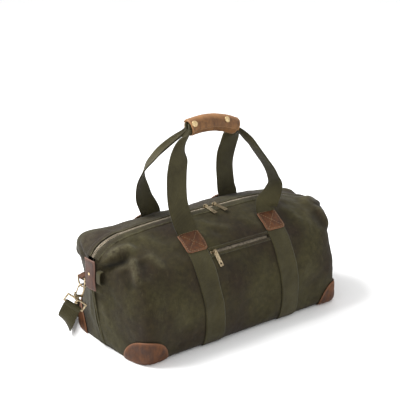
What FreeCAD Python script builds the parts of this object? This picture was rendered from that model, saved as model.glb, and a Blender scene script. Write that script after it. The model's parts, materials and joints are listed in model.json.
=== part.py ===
import FreeCAD, Part
import math
import os

# Weekender bag, in millimetres.  X runs along the bag, -Y is the front with the zip
# pocket, +Z is up.  The origin is the middle of the base, on the surface it stands on.

Vector = FreeCAD.Vector

# Bag body
CORNER_X = 256          # half the length, to the upright corners
SWELL_X = 274           # half the length, to the swell of each end at the base
TIP_X = 300             # half the length, to the leather end tabs
STRAIGHT_X = 150        # half of the zip's straight top stretch
SLOPE_X = 200           # where the top falls towards the ends
CANVAS = 3.0            # canvas with its backing
LINING_DEPTH = 9        # from the outside of the canvas in to the lining
TOP_Z = 244.5           # height of the zip
TOP_FLAT_Y = 14         # half the width of the flat strip along the zip
MOUTH_Y = 13            # half the width of the opening between the zip facings
MOUTH_END_Z = 196       # the zip runs down each end to here

# Half outlines across the bag, (y, z), from the base up to the zip
MIDDLE = [(122, 0), (136, 9), (141, 60), (137, 120), (118, 170), (98, 197),
          (59.5, 228), (TOP_FLAT_Y, TOP_Z)]
SLOPE = [(122, 0), (136, 9), (140, 60), (135, 120), (117, 168), (97, 196),
         (58, 225), (TOP_FLAT_Y, 238.5)]
CORNER = [(122, 0), (136, 9), (134, 60), (125, 120), (112, 165), (96, 192),
          (64, 216), (TOP_FLAT_Y, 230.5)]
SWELL = [(30, 0), (48, 12), (74, 60), (76, 120), (78, 165), (78, 190),
         (60, 211), (TOP_FLAT_Y, 224)]
TIP = [(10, 138), (14, 150), (15, 158), (15, 165), (15, 172), (15, 180),
       (14.5, 190), (13, 201)]

# Webbing, handles and leather
WEB_WIDTH = 50
WEB = 2.5
WEB_X = 107             # from the middle of the bag to each webbing run
PATCH_Z = (197, 226)    # the leather handle patches lie on the upper slope
CORNER_PATCH = (44, 70, 52)     # how far a corner patch reaches along X, Y and Z
LEATHER = 2.2
GAP = 0.3               # air between pieces on different bodies
SEAM = 0.2              # air between sewn layers

# Grip: the handles' leather wrap is an arch about a line along Y
ARCH_R = 194
ARCH_X = -15
ARCH_TOP_Z = 431
GRIP_X = (-53, 70)
GRIP_HALF_Y = 15
GRIP_HALF_Z = 17.5
FLAP_FROM, FLAP_TO = -18, 140   # degrees round the grip, 0 at the front, 90 on top
SNAP_ANGLE = 34
SNAP_X = (-46, 36)
SNAP_R = 7
SNAP_POST_R = 3
STRAND_Y = 5.5          # the two handles lie side by side inside the wrap
STRAND_HALF = (2.6, 11) # half the thickness and half the height of each

# Zips
CHAIN_HALF = 3.3        # half the width of the closed teeth
CHAIN_THICK = 2.6
CHAIN_PART = 0.8        # half the gap that the slider's wedge runs in
TAPE = 1.2
TAPE_REACH = 24
SLIDER_X = (-8, 16)     # where the two main sliders stand when the zip is closed
PULL_LENGTH = 34
PULL_WIDTH = 9.5
PULL_THICK = 1.6
BAR_RISE = 8.0          # the sliders' bridge above the teeth's middle
POCKET_SLOT = 6.8       # half the height of the pocket's opening
POCKET_X = 80           # half the length of the pocket's zip
POCKET_DOWN = 9         # from the crease down to the pocket's zip
POCKET_SLIDER = 12      # from the pocket zip's left end to its slider
POCKET_TAPES = (-16, 7.4)       # the slope bends above the zip, so the upper tape is narrow
SLIDER_LENGTH = 15
SLIDER_HALF = 6.2       # half the slider's width
SLIDER_PLATE = 1.3
WEDGE_HALF = 2          # half the length of the wedge that parts the teeth
BRIDGE_HALF = (5.5, 1.2, 1)     # the bar that the pull hangs on
BRIDGE_POST = 1.5
EYE_R = 3.9
EYE_BORE_R = 2.3
EYE_HALF = 3            # half the width of the pull's eye
HOLE_R = 2.2            # the hole near the pull's free end
HOLE_IN = 6
MAIN_DROP = 11          # degrees that the main pulls slope down
POCKET_DROP = 3
SKEWS = (3, 12, 8)      # degrees that the left, right and pocket pulls lie askew

# Strap hardware
STRAP_WIDTH = 38
STRAP = 2.4
RING_INSIDE = 40
RING_DROP = 16
WIRE_R = 2.0
D_RING_R = 12.5
D_RING_BAR = (-303, 33, 150)    # the straight side of the left D-ring
D_RING_DROP = 8         # the D-ring's straight legs
BOW_R = 9
BOW_RISE = 30           # the middle of the hook's bow above its swivel
HOOK_LEAN = 20          # degrees that the hook leans out of the upright
RING_LEAN = 35          # degrees that the strap's ring leans
ADJUSTER_X = (-10, 16)
ADJUSTER_RIM = 3.2      # the adjuster's frame above and below the strap
ADJUSTER_HALF = 3.6     # half its thickness
WINDOW = 8.5            # width of each of its two windows
WINDOW_IN = 3
HOOK_PLAY = 1.4         # air between the hook's bow and the D-ring

# End trim
TAB_HALF_Y = 17
TAB_Z = (136, 199)
TAB_AIR = 0.4           # between the canvas tip and the tab
TAB_THICK = 3
RIVET_Z = 168
RIVET_R = 6.5
RIVET_STEM_R = 3
RIVET_RIM = 1.6         # thickness of the rivet's rim under its dome
RIVET_DOME_R = 11
RIVET_IN = 5            # how far its stem reaches into the bag
LOOP_OUT = 9            # how far the small webbing loop stands out
LOOP_Y = (-33, -19)
LOOP_Z = (150, 178)
LOOP_HOLE_Z = (154, 182)
RING_LOOP_HALF = 9      # half the width of the leather loop round the D-ring's bar
RING_LOOP_WALL = 2

# Inside
BOARD_HALF = (236, 112)
BOARD = 2.5
POCKET_BAG_Z = (45, 188)
POCKET_BAG_Y = -90

pieces = {}


# ---------------------------------------------------------------- basic shapes
def block(x, y, z):
    """A box from three (low, high) pairs."""
    return Part.makeBox(x[1] - x[0], y[1] - y[0], z[1] - z[0], Vector(x[0], y[0], z[0]))


def rod(start, end, radius):
    """A round bar between two points."""
    start = Vector(start)
    run = Vector(end) - start
    return Part.makeCylinder(radius, run.Length, start, run)


def frame(origin, x_axis, z_axis):
    """The placement of a local frame whose z is kept and whose x is squared up to it."""
    z_dir = Vector(z_axis).normalize()
    y_dir = z_dir.cross(Vector(x_axis)).normalize()
    x_dir = y_dir.cross(z_dir)
    turn = FreeCAD.Rotation(x_dir, y_dir, z_dir, "ZXY")
    return FreeCAD.Placement(Vector(origin), turn)


def placed(shape, placement):
    moved = shape.copy()
    moved.Placement = placement.multiply(moved.Placement)
    return moved


def mirrored_x(shape):
    return shape.mirror(Vector(0, 0, 0), Vector(1, 0, 0))


def mirrored_y(shape):
    return shape.mirror(Vector(0, 0, 0), Vector(0, 1, 0))


def fused(shapes):
    return shapes[0].fuse(shapes[1:]).removeSplitter()


def loft(outlines):
    wires = [Part.makePolygon(points + points[:1]) for points in outlines]
    return Part.makeLoft(wires, True, True)


# ---------------------------------------------------------------- the bag's form
def closed(half):
    """Mirror a half outline into a closed one, counter-clockwise seen from +X."""
    return list(half) + [(-y, z) for y, z in reversed(half)]


def grown(outline, by):
    """Move a closed outline outward, keeping its corners sharp."""
    count = len(outline)
    result = []
    for i, (y, z) in enumerate(outline):
        back_y, back_z = outline[i - 1]
        next_y, next_z = outline[(i + 1) % count]
        first = Vector(z - back_z, back_y - y, 0).normalize()
        second = Vector(next_z - z, y - next_y, 0).normalize()
        mitre = (first + second) * (by / (1 + first.dot(second)))
        result.append((y + mitre.x, z + mitre.y))
    return result


def bag_form(by):
    """The bag's outer form, grown by a distance."""
    half_stations = [
        (STRAIGHT_X, MIDDLE),
        (SLOPE_X, SLOPE),
        (CORNER_X + by, CORNER),
        (SWELL_X + by, SWELL),
        (TIP_X + by, TIP),
    ]
    stations = [(-x, half) for x, half in reversed(half_stations)] + half_stations
    outlines = []
    for x, half in stations:
        outlines.append([Vector(x, y, z) for y, z in grown(closed(half), by)])
    return loft(outlines)


def layer(outer, inner):
    """A layer of the bag's form between two growths."""
    return bag_form(outer).cut(bag_form(inner))


FAR = 400               # beyond the whole bag
EVERYWHERE = (-FAR, FAR)
BODY_X = (-CORNER_X, CORNER_X)


def make_panels():
    shell = layer(0, -CANVAS)
    mouth = block(EVERYWHERE, (-MOUTH_Y, MOUTH_Y), (MOUTH_END_Z, FAR))
    base = (0, CANVAS)
    above = (CANVAS, FAR)
    walls = shell.cut(mouth)
    pieces["base_panel"] = shell.common(block(EVERYWHERE, EVERYWHERE, base))
    front = walls.common(block(BODY_X, (-FAR, 0), above))
    pieces["front_panel"] = front.cut(pocket_slot())
    pieces["back_panel"] = walls.common(block(BODY_X, (0, FAR), above))
    end_front = walls.common(block((-FAR, -CORNER_X), (-FAR, 0), above))
    end_back = walls.common(block((-FAR, -CORNER_X), (0, FAR), above))
    pieces["left_end_front_half"] = end_front
    pieces["left_end_back_half"] = end_back
    pieces["right_end_front_half"] = mirrored_x(end_front)
    pieces["right_end_back_half"] = mirrored_x(end_back)


def make_inside():
    half_x, half_y = BOARD_HALF
    board_z = (CANVAS + SEAM, CANVAS + SEAM + BOARD)
    pieces["base_board"] = block((-half_x, half_x), (-half_y, half_y), board_z)
    mouth = block(EVERYWHERE, (-MOUTH_Y, MOUTH_Y), (MOUTH_END_Z - 10, FAR))
    pieces["lining"] = layer(-LINING_DEPTH, -LINING_DEPTH - 1).cut(mouth)
    bag_layer = layer(8 * SEAM + SEAM - LINING_DEPTH, SEAM - LINING_DEPTH)
    bag_box = block((-POCKET_X, POCKET_X), (-FAR, POCKET_BAG_Y), POCKET_BAG_Z)
    pieces["pocket_bag"] = bag_layer.common(bag_box)


def make_webbing():
    web_layer = layer(SEAM + WEB, SEAM)
    patch_layer = layer(2 * SEAM + WEB + LEATHER, 2 * SEAM + WEB)
    half_web = WEB_WIDTH / 2
    half_patch = half_web + 1.5
    for side, x in (("left", -WEB_X), ("right", WEB_X)):
        run_box = block((x - half_web, x + half_web), (-FAR, 0), (CANVAS, PATCH_Z[1]))
        patch_box = block((x - half_patch, x + half_patch), (-FAR, 0), PATCH_Z)
        run = web_layer.common(run_box)
        patch = patch_layer.common(patch_box)
        pieces["front_" + side + "_webbing_run"] = run
        pieces["back_" + side + "_webbing_run"] = mirrored_y(run)
        pieces["front_" + side + "_handle_patch"] = patch
        pieces["back_" + side + "_handle_patch"] = mirrored_y(patch)


def make_corner_patches():
    reach = Part.makeSphere(1)
    stretch = FreeCAD.Matrix()
    stretch.scale(*CORNER_PATCH)
    reach = reach.transformGeometry(stretch)
    reach.translate(Vector(-CORNER_X, -MIDDLE[2][0], 0))
    keep = block((-FAR, 0), (-FAR, 0), (0.5, FAR))
    patch = layer(SEAM + LEATHER, SEAM).common(keep).common(reach)
    pieces["front_left_corner_patch"] = patch
    pieces["back_left_corner_patch"] = mirrored_y(patch)
    pieces["front_right_corner_patch"] = mirrored_x(patch)
    pieces["back_right_corner_patch"] = mirrored_y(mirrored_x(patch))


# ---------------------------------------------------------------- zips
def make_main_zip():
    tape_at = -CANVAS - SEAM
    tape = layer(tape_at, tape_at - TAPE)
    tape_box = block(EVERYWHERE, (-TAPE_REACH, -CHAIN_HALF - SEAM), (MOUTH_END_Z, FAR))
    tape_front = tape.common(tape_box)
    pieces["main_zip_tapes"] = Part.makeCompound([tape_front, mirrored_y(tape_front)])
    teeth_mid = tape_at - TAPE / 2
    teeth = layer(teeth_mid + CHAIN_THICK / 2, teeth_mid - CHAIN_THICK / 2)
    teeth_box = block(EVERYWHERE, (-CHAIN_HALF, -CHAIN_PART), (MOUTH_END_Z, FAR))
    pieces["main_zip_teeth_front"] = teeth.common(teeth_box)
    pieces["main_zip_teeth_back"] = mirrored_y(pieces["main_zip_teeth_front"])


def slider():
    """A zip slider: its travel is local X, its origin is the middle of the teeth."""
    inner = CHAIN_THICK / 2 + GAP
    flange_gap = TAPE / 2 + GAP
    along = (-SLIDER_LENGTH / 2, SLIDER_LENGTH / 2)
    wedge_y = (-CHAIN_PART + GAP, CHAIN_PART - GAP)
    parts = [block((-WEDGE_HALF, WEDGE_HALF), wedge_y, (-inner, inner))]
    for low, high in ((inner, inner + SLIDER_PLATE), (-inner - SLIDER_PLATE, -inner)):
        parts.append(block(along, (-SLIDER_HALF, SLIDER_HALF), (low, high)))
    for y in ((-SLIDER_HALF, -CHAIN_HALF - GAP), (CHAIN_HALF + GAP, SLIDER_HALF)):
        parts.append(block(along, y, (flange_gap, inner)))
        parts.append(block(along, y, (-inner, -flange_gap)))
    half_x, half_y, half_z = BRIDGE_HALF
    bridge_y = (-half_y, half_y)
    for x in ((-half_x, BRIDGE_POST - half_x), (half_x - BRIDGE_POST, half_x)):
        parts.append(block(x, bridge_y, (inner + SLIDER_PLATE, BAR_RISE + half_z)))
    parts.append(block((-half_x, half_x), bridge_y, (BAR_RISE - half_z, BAR_RISE + half_z)))
    return fused(parts)


def pull(drop_angle, skew):
    """A pull tab on the slider's bridge, lying towards -Y and sloping down."""
    left = (-EYE_HALF, 0, 0)
    right = (EYE_HALF, 0, 0)
    eye = rod(left, right, EYE_R).cut(rod(left, right, EYE_BORE_R))
    tab_x = (-PULL_WIDTH / 2, PULL_WIDTH / 2)
    tab = block(tab_x, (-PULL_LENGTH, -3), (-PULL_THICK / 2, PULL_THICK / 2))
    hole_y = HOLE_IN - PULL_LENGTH
    tab = tab.cut(rod((0, hole_y, -PULL_THICK), (0, hole_y, PULL_THICK), HOLE_R))
    tab.rotate(Vector(0, 0, 0), Vector(0, 0, 1), skew)
    whole = fused([eye, tab])
    whole.rotate(Vector(0, 0, 0), Vector(1, 0, 0), drop_angle)
    return whole


def make_main_sliders():
    teeth_z = TOP_Z - CANVAS - SEAM - TAPE / 2
    for name, x, skew in zip(("left", "right"), SLIDER_X, SKEWS):
        at = FreeCAD.Placement(Vector(x, 0, teeth_z), FreeCAD.Rotation())
        bar = FreeCAD.Placement(Vector(x, 0, teeth_z + BAR_RISE), FreeCAD.Rotation())
        pieces[name + "_zip_slider"] = placed(slider(), at)
        pieces[name + "_zip_pull"] = placed(pull(MAIN_DROP, skew), bar)


def pocket_frame():
    """X along the pocket's zip, Y up the slope, Z out of the panel."""
    crease_y, crease_z = MIDDLE[5]
    lower_y, lower_z = MIDDLE[4]
    down = Vector(0, crease_y - lower_y, lower_z - crease_z).normalize()
    outward = Vector(0, down.z, -down.y)
    middle = Vector(0, -crease_y, crease_z) + down * POCKET_DOWN
    return frame(middle, (1, 0, 0), outward)


def pocket_slot():
    slot = block((-POCKET_X, POCKET_X), (-POCKET_SLOT, POCKET_SLOT), (-6, 6))
    return placed(slot, pocket_frame())


def make_pocket_zip():
    at = pocket_frame()
    tape_z = (-CANVAS - SEAM - TAPE, -CANVAS - SEAM)
    teeth_mid = -CANVAS - SEAM - TAPE / 2
    teeth_z = (teeth_mid - CHAIN_THICK / 2, teeth_mid + CHAIN_THICK / 2)
    along = (-POCKET_X + 1, POCKET_X - 1)
    lower = block(along, (POCKET_TAPES[0], -CHAIN_HALF - SEAM), tape_z)
    upper = block(along, (CHAIN_HALF + SEAM, POCKET_TAPES[1]), tape_z)
    pieces["pocket_zip_tape"] = placed(Part.makeCompound([lower, upper]), at)
    rows = []
    for y in ((-CHAIN_HALF, -CHAIN_PART), (CHAIN_PART, CHAIN_HALF)):
        rows.append(block(along, y, teeth_z))
    pieces["pocket_zip_teeth"] = placed(Part.makeCompound(rows), at)
    slider_x = POCKET_SLIDER - POCKET_X
    lift = FreeCAD.Placement(Vector(slider_x, 0, teeth_mid), FreeCAD.Rotation())
    bar = FreeCAD.Placement(Vector(slider_x, 0, teeth_mid + BAR_RISE), FreeCAD.Rotation())
    pieces["pocket_zip_slider"] = placed(placed(slider(), lift), at)
    pieces["pocket_zip_pull"] = placed(placed(pull(POCKET_DROP, SKEWS[2]), bar), at)


# ---------------------------------------------------------------- handles and grip
def arch_point(x, out):
    """The point on the grip's arch at x, moved outward from the arch's centre."""
    turn = math.asin((x - ARCH_X) / ARCH_R)
    centre_z = ARCH_TOP_Z - ARCH_R
    reach = ARCH_R + out
    return Vector(ARCH_X + reach * math.sin(turn), 0, centre_z + reach * math.cos(turn))


def arch_sweep(face, from_x, to_x):
    """Turn a face drawn in the Y-Z plane over the top of the arch, between two x."""
    first = math.degrees(math.asin((from_x - ARCH_X) / ARCH_R))
    last = math.degrees(math.asin((to_x - ARCH_X) / ARCH_R))
    centre = Vector(ARCH_X, 0, ARCH_TOP_Z - ARCH_R)
    start = face.copy()
    start.translate(Vector(ARCH_X, 0, ARCH_TOP_Z))
    start.rotate(centre, Vector(0, 1, 0), first)
    return start.revolve(centre, Vector(0, 1, 0), last - first)


def oval(by):
    """The grip's cross-section, an ellipse grown by a distance."""
    matrix = FreeCAD.Matrix()
    matrix.scale(1, GRIP_HALF_Y + by, GRIP_HALF_Z + by)
    circle = Part.makeCircle(1, Vector(0, 0, 0), Vector(1, 0, 0))
    wire = Part.Wire(circle.toNurbs().transformGeometry(matrix).Edges)
    return Part.Face(wire)


def sector(from_angle, to_angle):
    """A wedge of the Y-Z plane, measured from the front over the top."""
    reach = 60
    steps = 8
    points = [Vector(0, 0, 0)]
    for i in range(steps + 1):
        turn = math.radians(from_angle + (to_angle - from_angle) * i / steps)
        points.append(Vector(0, -reach * math.cos(turn), reach * math.sin(turn)))
    return Part.Face(Part.makePolygon(points + points[:1]))


def make_grip():
    wrap = arch_sweep(oval(0).cut(oval(-LEATHER)), *GRIP_X)
    flap_ring = oval(GAP + LEATHER).cut(oval(GAP)).common(sector(FLAP_FROM, FLAP_TO))
    flap = arch_sweep(flap_ring, *GRIP_X)
    turn = math.radians(SNAP_ANGLE)
    caps = []
    posts = []
    for x in SNAP_X:
        middle = arch_point(x, 0)
        up = arch_point(x, 1) - middle
        outward = Vector(0, -math.cos(turn), 0) + up * math.sin(turn)
        reach = 1 / math.hypot(math.cos(turn) / GRIP_HALF_Y, math.sin(turn) / GRIP_HALF_Z)
        skin = middle + outward * (reach + GAP + LEATHER)
        cap = Part.makeSphere(SNAP_R * 1.6, skin - outward * SNAP_R * 1.3, outward)
        disc = Part.makeCylinder(SNAP_R, 6, skin - outward * 1.0, outward)
        caps.append(cap.common(disc))
        root = middle + outward * (reach - LEATHER - 1.0)
        posts.append(Part.makeCylinder(SNAP_POST_R, LEATHER + 0.4, root, outward))
    caps = Part.makeCompound([cap.cut(flap) for cap in caps])
    posts = Part.makeCompound(posts)
    pieces["grip_flap"] = flap
    pieces["grip_snap_caps"] = caps
    pieces["grip_wrap"] = wrap.cut(posts)
    pieces["grip_snap_posts"] = posts
    inner_x = (GRIP_X[0] + 1, GRIP_X[1] - 1)
    strips = []
    half_y, half_z = STRAND_HALF
    for y in (-STRAND_Y, STRAND_Y):
        corners = [Vector(0, y - half_y, -half_z), Vector(0, y + half_y, -half_z),
                   Vector(0, y + half_y, half_z), Vector(0, y - half_y, half_z)]
        strip = Part.Face(Part.makePolygon(corners + corners[:1]))
        strips.append(arch_sweep(strip, *inner_x))
    pieces["handles_in_grip"] = Part.makeCompound(strips)


def ribbon(stations):
    """A flat strip through stations (x, y, z, across, width, thickness)."""
    outlines = []
    last = len(stations) - 1
    for i, (x, y, z, across, width, thick) in enumerate(stations):
        here = Vector(x, y, z)
        before = Vector(stations[max(i - 1, 0)][:3])
        after = Vector(stations[min(i + 1, last)][:3])
        run = (after - before).normalize()
        flat = Vector(across)
        flat = (flat - run * flat.dot(run)).normalize() * (width / 2)
        normal = run.cross(flat).normalize() * (thick / 2)
        outlines.append([here + flat + normal, here - flat + normal,
                         here - flat - normal, here + flat - normal])
    return loft(outlines)


def turned(degrees):
    """A level direction, turned from +X towards +Y."""
    return (math.cos(math.radians(degrees)), math.sin(math.radians(degrees)), 0)


# Each handle leg as (x, y, z, turn of its width, width, thickness), from foot to grip
LEGS = {
    "front_handle_left_leg": [
        (-107, -64, 230, 0, 50, 2.5), (-107.5, -64, 238, 0, 50, 2.5),
        (-116, -61, 258, 0, 50, 2.5), (-121, -53, 290, 2, 50, 2.5), (-118, -45, 322, 3, 50, 2.5),
        (-110, -36, 352, 5, 50, 2.5), (-98, -28, 380, 10, 47, 2.8), (-82, -18, 401, 32, 34, 4.0),
        (-63, -8, 416, 70, 14, 6.0)],
    "front_handle_right_leg": [
        (107, -64, 230, 0, 50, 2.5), (107, -64, 238, -6, 50, 2.5), (112, -63, 249, -36, 48, 2.5),
        (126, -61, 264, -70, 46, 2.5), (139, -56, 283, -92, 46, 2.5),
        (139, -50, 300, -98, 48, 2.5), (131, -46, 320, -98, 48, 2.5),
        (118, -39, 342, -98, 47, 2.5), (101, -30, 368, -96, 42, 2.8),
        (86, -18, 390, -90, 28, 4.0), (75, -8, 405, -84, 12, 6.0)],
    "back_handle_left_leg": [
        (-107, 64, 230, 0, 50, 2.5), (-107.5, 64, 238, 0, 50, 2.5), (-112, 64, 250, 10, 50, 2.5),
        (-121, 62, 266, 18, 50, 2.5), (-132, 57, 290, 22, 50, 2.5), (-138, 52, 320, 38, 50, 2.5),
        (-131, 46, 347, 52, 48, 2.5), (-114, 38, 368, 62, 42, 2.6), (-93, 28, 388, 72, 31, 3.0),
        (-76, 18, 404, 82, 22, 4.0), (-60, 8, 418, 88, 12, 6.0)],
    "back_handle_right_leg": [
        (107, 64, 230, 0, 50, 2.5), (106.5, 64, 238, 0, 50, 2.5), (101, 63, 254, 5, 50, 2.5),
        (91, 55, 285, 8, 50, 2.5), (84, 48, 315, 6, 50, 2.5), (81, 39, 347, 0, 50, 2.5),
        (81, 28, 374, -4, 46, 2.6), (79, 17, 393, -24, 32, 4.0), (76, 8, 404, -66, 12, 6.0)],
}


def make_legs():
    for name, stations in LEGS.items():
        steps = [(x, y, z, turned(turn), width, thick)
                 for x, y, z, turn, width, thick in stations]
        pieces[name] = ribbon(steps)


# ---------------------------------------------------------------- ends and strap
def make_end_trim():
    tab_in = -TIP_X - TAB_AIR
    tab_out = tab_in - TAB_THICK
    tab = block((tab_out, tab_in), (-TAB_HALF_Y, TAB_HALF_Y), TAB_Z)
    stem = rod((RIVET_IN - TIP_X, 0, RIVET_Z), (tab_out, 0, RIVET_Z), RIVET_STEM_R)
    head = rod((tab_out, 0, RIVET_Z), (tab_out - 2 * TAB_THICK, 0, RIVET_Z), RIVET_R)
    rim = rod((tab_out, 0, RIVET_Z), (tab_out - RIVET_RIM, 0, RIVET_Z), RIVET_R)
    dome_x = tab_out - TAB_THICK + RIVET_DOME_R
    dome = Part.makeSphere(RIVET_DOME_R, Vector(dome_x, 0, RIVET_Z))
    rivet = fused([rim, dome.common(head)])
    pull_loop = block((tab_in - LOOP_OUT, tab_in), LOOP_Y, LOOP_Z)
    hole_x = (tab_in - LOOP_OUT + 2, tab_in - 2)
    pull_loop = pull_loop.cut(block(hole_x, (-FAR, 0), LOOP_HOLE_Z))
    bar_x, bar_y, bar_z = D_RING_BAR
    side_y = (bar_y - RING_LOOP_HALF, bar_y + RING_LOOP_HALF)
    ends = ((bar_x, side_y[0], bar_z), (bar_x, side_y[1], bar_z))
    sleeve = rod(*ends, WIRE_R + GAP + RING_LOOP_WALL)
    hollow = rod(*ends, WIRE_R + GAP)
    tongue_z = (bar_z, bar_z + WIRE_R + GAP + RING_LOOP_WALL)
    tongue = block((bar_x + 1, 3 * TAB_THICK - TIP_X), side_y, tongue_z)
    pieces["left_end_tab"] = tab.cut(stem)
    pieces["tab_rivets"] = Part.makeCompound([rivet, mirrored_x(rivet)])
    pieces["webbing_tabs"] = Part.makeCompound([pull_loop, mirrored_x(pull_loop)])
    pieces["left_ring_loop"] = fused([sleeve, tongue]).cut(hollow).cut(bag_form(SEAM))


def d_ring():
    """Straight side through the local origin along Y, the bow hanging towards -Z."""
    reach = D_RING_R
    drop = D_RING_DROP
    bow = Part.makeTorus(reach, WIRE_R, Vector(0, 0, -drop), Vector(1, 0, 0))
    bow = bow.common(block((-5, 5), (-30, 30), (-40, -drop)))
    parts = [bow, rod((0, -reach, 0), (0, reach, 0), WIRE_R)]
    for y in (-reach, reach):
        parts.append(rod((0, y, 0), (0, y, -drop), WIRE_R))
        parts.append(Part.makeSphere(WIRE_R, Vector(0, y, 0)))
    return fused(parts)


GATE_X = BOW_R
GATE_Z = 15
GATE_R = 1.5
GATE_PIN_R = 0.7
YOKE_Z = (9, 13)
YOKE_HALF = 2.6         # half the thickness of the yoke and of the gate's ears
EAR = 0.8
POST_R = 2.4
HEAD_R = 4.2
KNOB_Z = 19
KNOB_OUT = 4.5


def hook():
    """Swivel post along Z from the origin, the bow in the local X-Z plane above it."""
    bow = Part.makeTorus(BOW_R, WIRE_R, Vector(0, 0, BOW_RISE), Vector(0, 1, 0))
    wire_y = (-2 * WIRE_R, 2 * WIRE_R)
    bow = bow.cut(block((-2 * BOW_R, 0), wire_y, (YOKE_Z[0], BOW_RISE)))
    bow = bow.cut(block((-1, 2 * BOW_R), wire_y, (YOKE_Z[0], BOW_RISE + 3)))
    spine = rod((-BOW_R, 0, YOKE_Z[0] + WIRE_R), (-BOW_R, 0, BOW_RISE), WIRE_R)
    yoke_x = (-BOW_R - WIRE_R, BOW_R + WIRE_R)
    yoke = block(yoke_x, (-YOKE_HALF, YOKE_HALF), YOKE_Z)
    post = rod((0, 0, -4), (0, 0, YOKE_Z[0] + 1), POST_R)
    head = rod((0, 0, -5.5), (0, 0, -3.5), HEAD_R)
    parts = [bow, spine, yoke, post, head]
    for y in ((-YOKE_HALF, EAR - YOKE_HALF), (YOKE_HALF - EAR, YOKE_HALF)):
        parts.append(block((GATE_X - 2, GATE_X + 2), y, (YOKE_Z[1], GATE_Z + 2)))
    parts.append(rod((GATE_X, -YOKE_HALF, GATE_Z), (GATE_X, YOKE_HALF, GATE_Z), GATE_PIN_R))
    return fused(parts)


def gate():
    """The sprung gate that closes the hook's bow, with its thumb knob."""
    bar = rod((GATE_X, 0, YOKE_Z[1] + 2 * GAP), (GATE_X, 0, BOW_RISE + 2), GATE_R)
    knob = rod((GATE_X, 0, KNOB_Z), (GATE_X + KNOB_OUT, 0, KNOB_Z), GATE_R + 0.1)
    bore = rod((GATE_X, -4, GATE_Z), (GATE_X, 4, GATE_Z), GATE_PIN_R + 0.05)
    return fused([bar, knob]).cut(bore)


COLLAR_R = 5.6
COLLAR_BORE_R = 3.6
COLLAR_HALF = 2         # half the collar's height


def strap_ring():
    """Collar round the hook's post at the origin, the strap's bar towards -Z."""
    half = RING_INSIDE / 2 + WIRE_R
    parts = [rod((0, 0, -COLLAR_HALF), (0, 0, COLLAR_HALF), COLLAR_R)]
    for z in (0, -RING_DROP):
        parts.append(rod((-half, 0, z), (half, 0, z), WIRE_R))
    for x in (-half, half):
        parts.append(rod((x, 0, 0), (x, 0, -RING_DROP), WIRE_R))
        for z in (0, -RING_DROP):
            parts.append(Part.makeSphere(WIRE_R, Vector(x, 0, z)))
    bore = rod((0, 0, -2 * COLLAR_HALF), (0, 0, 2 * COLLAR_HALF), COLLAR_BORE_R)
    return fused(parts).cut(bore)


SIDE_DIR = Vector(0.786, -0.619, 0)     # level, square to the way the hook leans
UP = Vector(0, 0, 1)


def leaning(degrees):
    """Upright, leaned towards SIDE_DIR."""
    turn = math.radians(degrees)
    return UP * math.cos(turn) + SIDE_DIR * math.sin(turn)


# The strap's centre line with the direction of its width: it leaves the ring's bar,
# turns onto its edge and runs on the floor behind the bag.
STRAP_ROUTE = [
    (-320.5, 46.5, 84.3, (0.64, -0.51, -0.57)), (-328, 51, 68, (0.62, -0.44, -0.65)),
    (-327, 64, 46, (0.5, -0.3, -0.81)), (-311, 86, 28, (0.3, -0.15, -0.94)),
    (-287, 110, 20, (0.1, 0, -1)), (-271, 134, 19.5, (0, 0, -1)),
    (-247, 152, 19.5, (0, 0, -1)), (-205, 158, 20, (0, 0, -1)),
    (-140, 164, 21.5, (0, 0, -1)), (-60, 168, 23, (0, 0, -1)),
]


def make_strap():
    route = list(STRAP_ROUTE)
    for x, y, z, across in reversed(STRAP_ROUTE):
        route.append((-x, y, z, (-across[0], across[1], across[2])))
    band = ribbon([(x, y, z, across, STRAP_WIDTH, STRAP) for x, y, z, across in route])
    half = STRAP_WIDTH / 2
    bar = ((-half, 0, -RING_DROP), (half, 0, -RING_DROP))
    hollow = placed(rod(*bar, WIRE_R + SEAM), strap_ring_frame())
    sleeve = placed(rod(*bar, WIRE_R + SEAM + STRAP), strap_ring_frame()).cut(hollow)
    band = band.cut(hollow).cut(mirrored_x(hollow))
    pieces["strap_webbing"] = fused([band, sleeve, mirrored_x(sleeve)])


def make_adjuster():
    """A flat frame with two windows, on the strap behind the bag."""
    y, z = STRAP_ROUTE[-1][1:3]
    half_z = STRAP_WIDTH / 2 + ADJUSTER_RIM
    tunnel_y = STRAP / 2 + GAP
    tunnel_z = (z - STRAP_WIDTH / 2 - GAP, z + STRAP_WIDTH / 2 + GAP)
    side_y = (y - ADJUSTER_HALF, y + ADJUSTER_HALF)
    body = block(ADJUSTER_X, side_y, (z - half_z, z + half_z))
    body = body.cut(block(ADJUSTER_X, (y - tunnel_y, y + tunnel_y), tunnel_z))
    for x in (ADJUSTER_X[0] + WINDOW_IN, ADJUSTER_X[1] - WINDOW_IN - WINDOW):
        body = body.cut(block((x, x + WINDOW), side_y, tunnel_z))
    pieces["strap_adjuster"] = body


def hook_frame():
    """The hook hangs from the D-ring's bow, its own axis leaning outward."""
    axis = leaning(HOOK_LEAN)
    wire_at = Vector(D_RING_BAR) + Vector(0, 0, -D_RING_DROP - D_RING_R)
    bow_centre = wire_at - axis * (BOW_R - 2 * WIRE_R - HOOK_PLAY)
    return frame(bow_centre - axis * BOW_RISE, (-1, 0, 0), axis)


def strap_ring_frame():
    ring_up = leaning(RING_LEAN)
    across = ring_up.cross(SIDE_DIR.cross(UP))
    collar = hook_frame().multVec(Vector(0, 0, 3))
    return frame(collar, across, ring_up)


def make_hardware():
    ring_place = FreeCAD.Placement(Vector(D_RING_BAR), FreeCAD.Rotation())
    pieces["left_d_ring"] = placed(d_ring(), ring_place)
    pieces["left_hook"] = placed(hook(), hook_frame())
    pieces["left_hook_gate"] = placed(gate(), hook_frame())
    pieces["left_strap_ring"] = placed(strap_ring(), strap_ring_frame())


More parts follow.
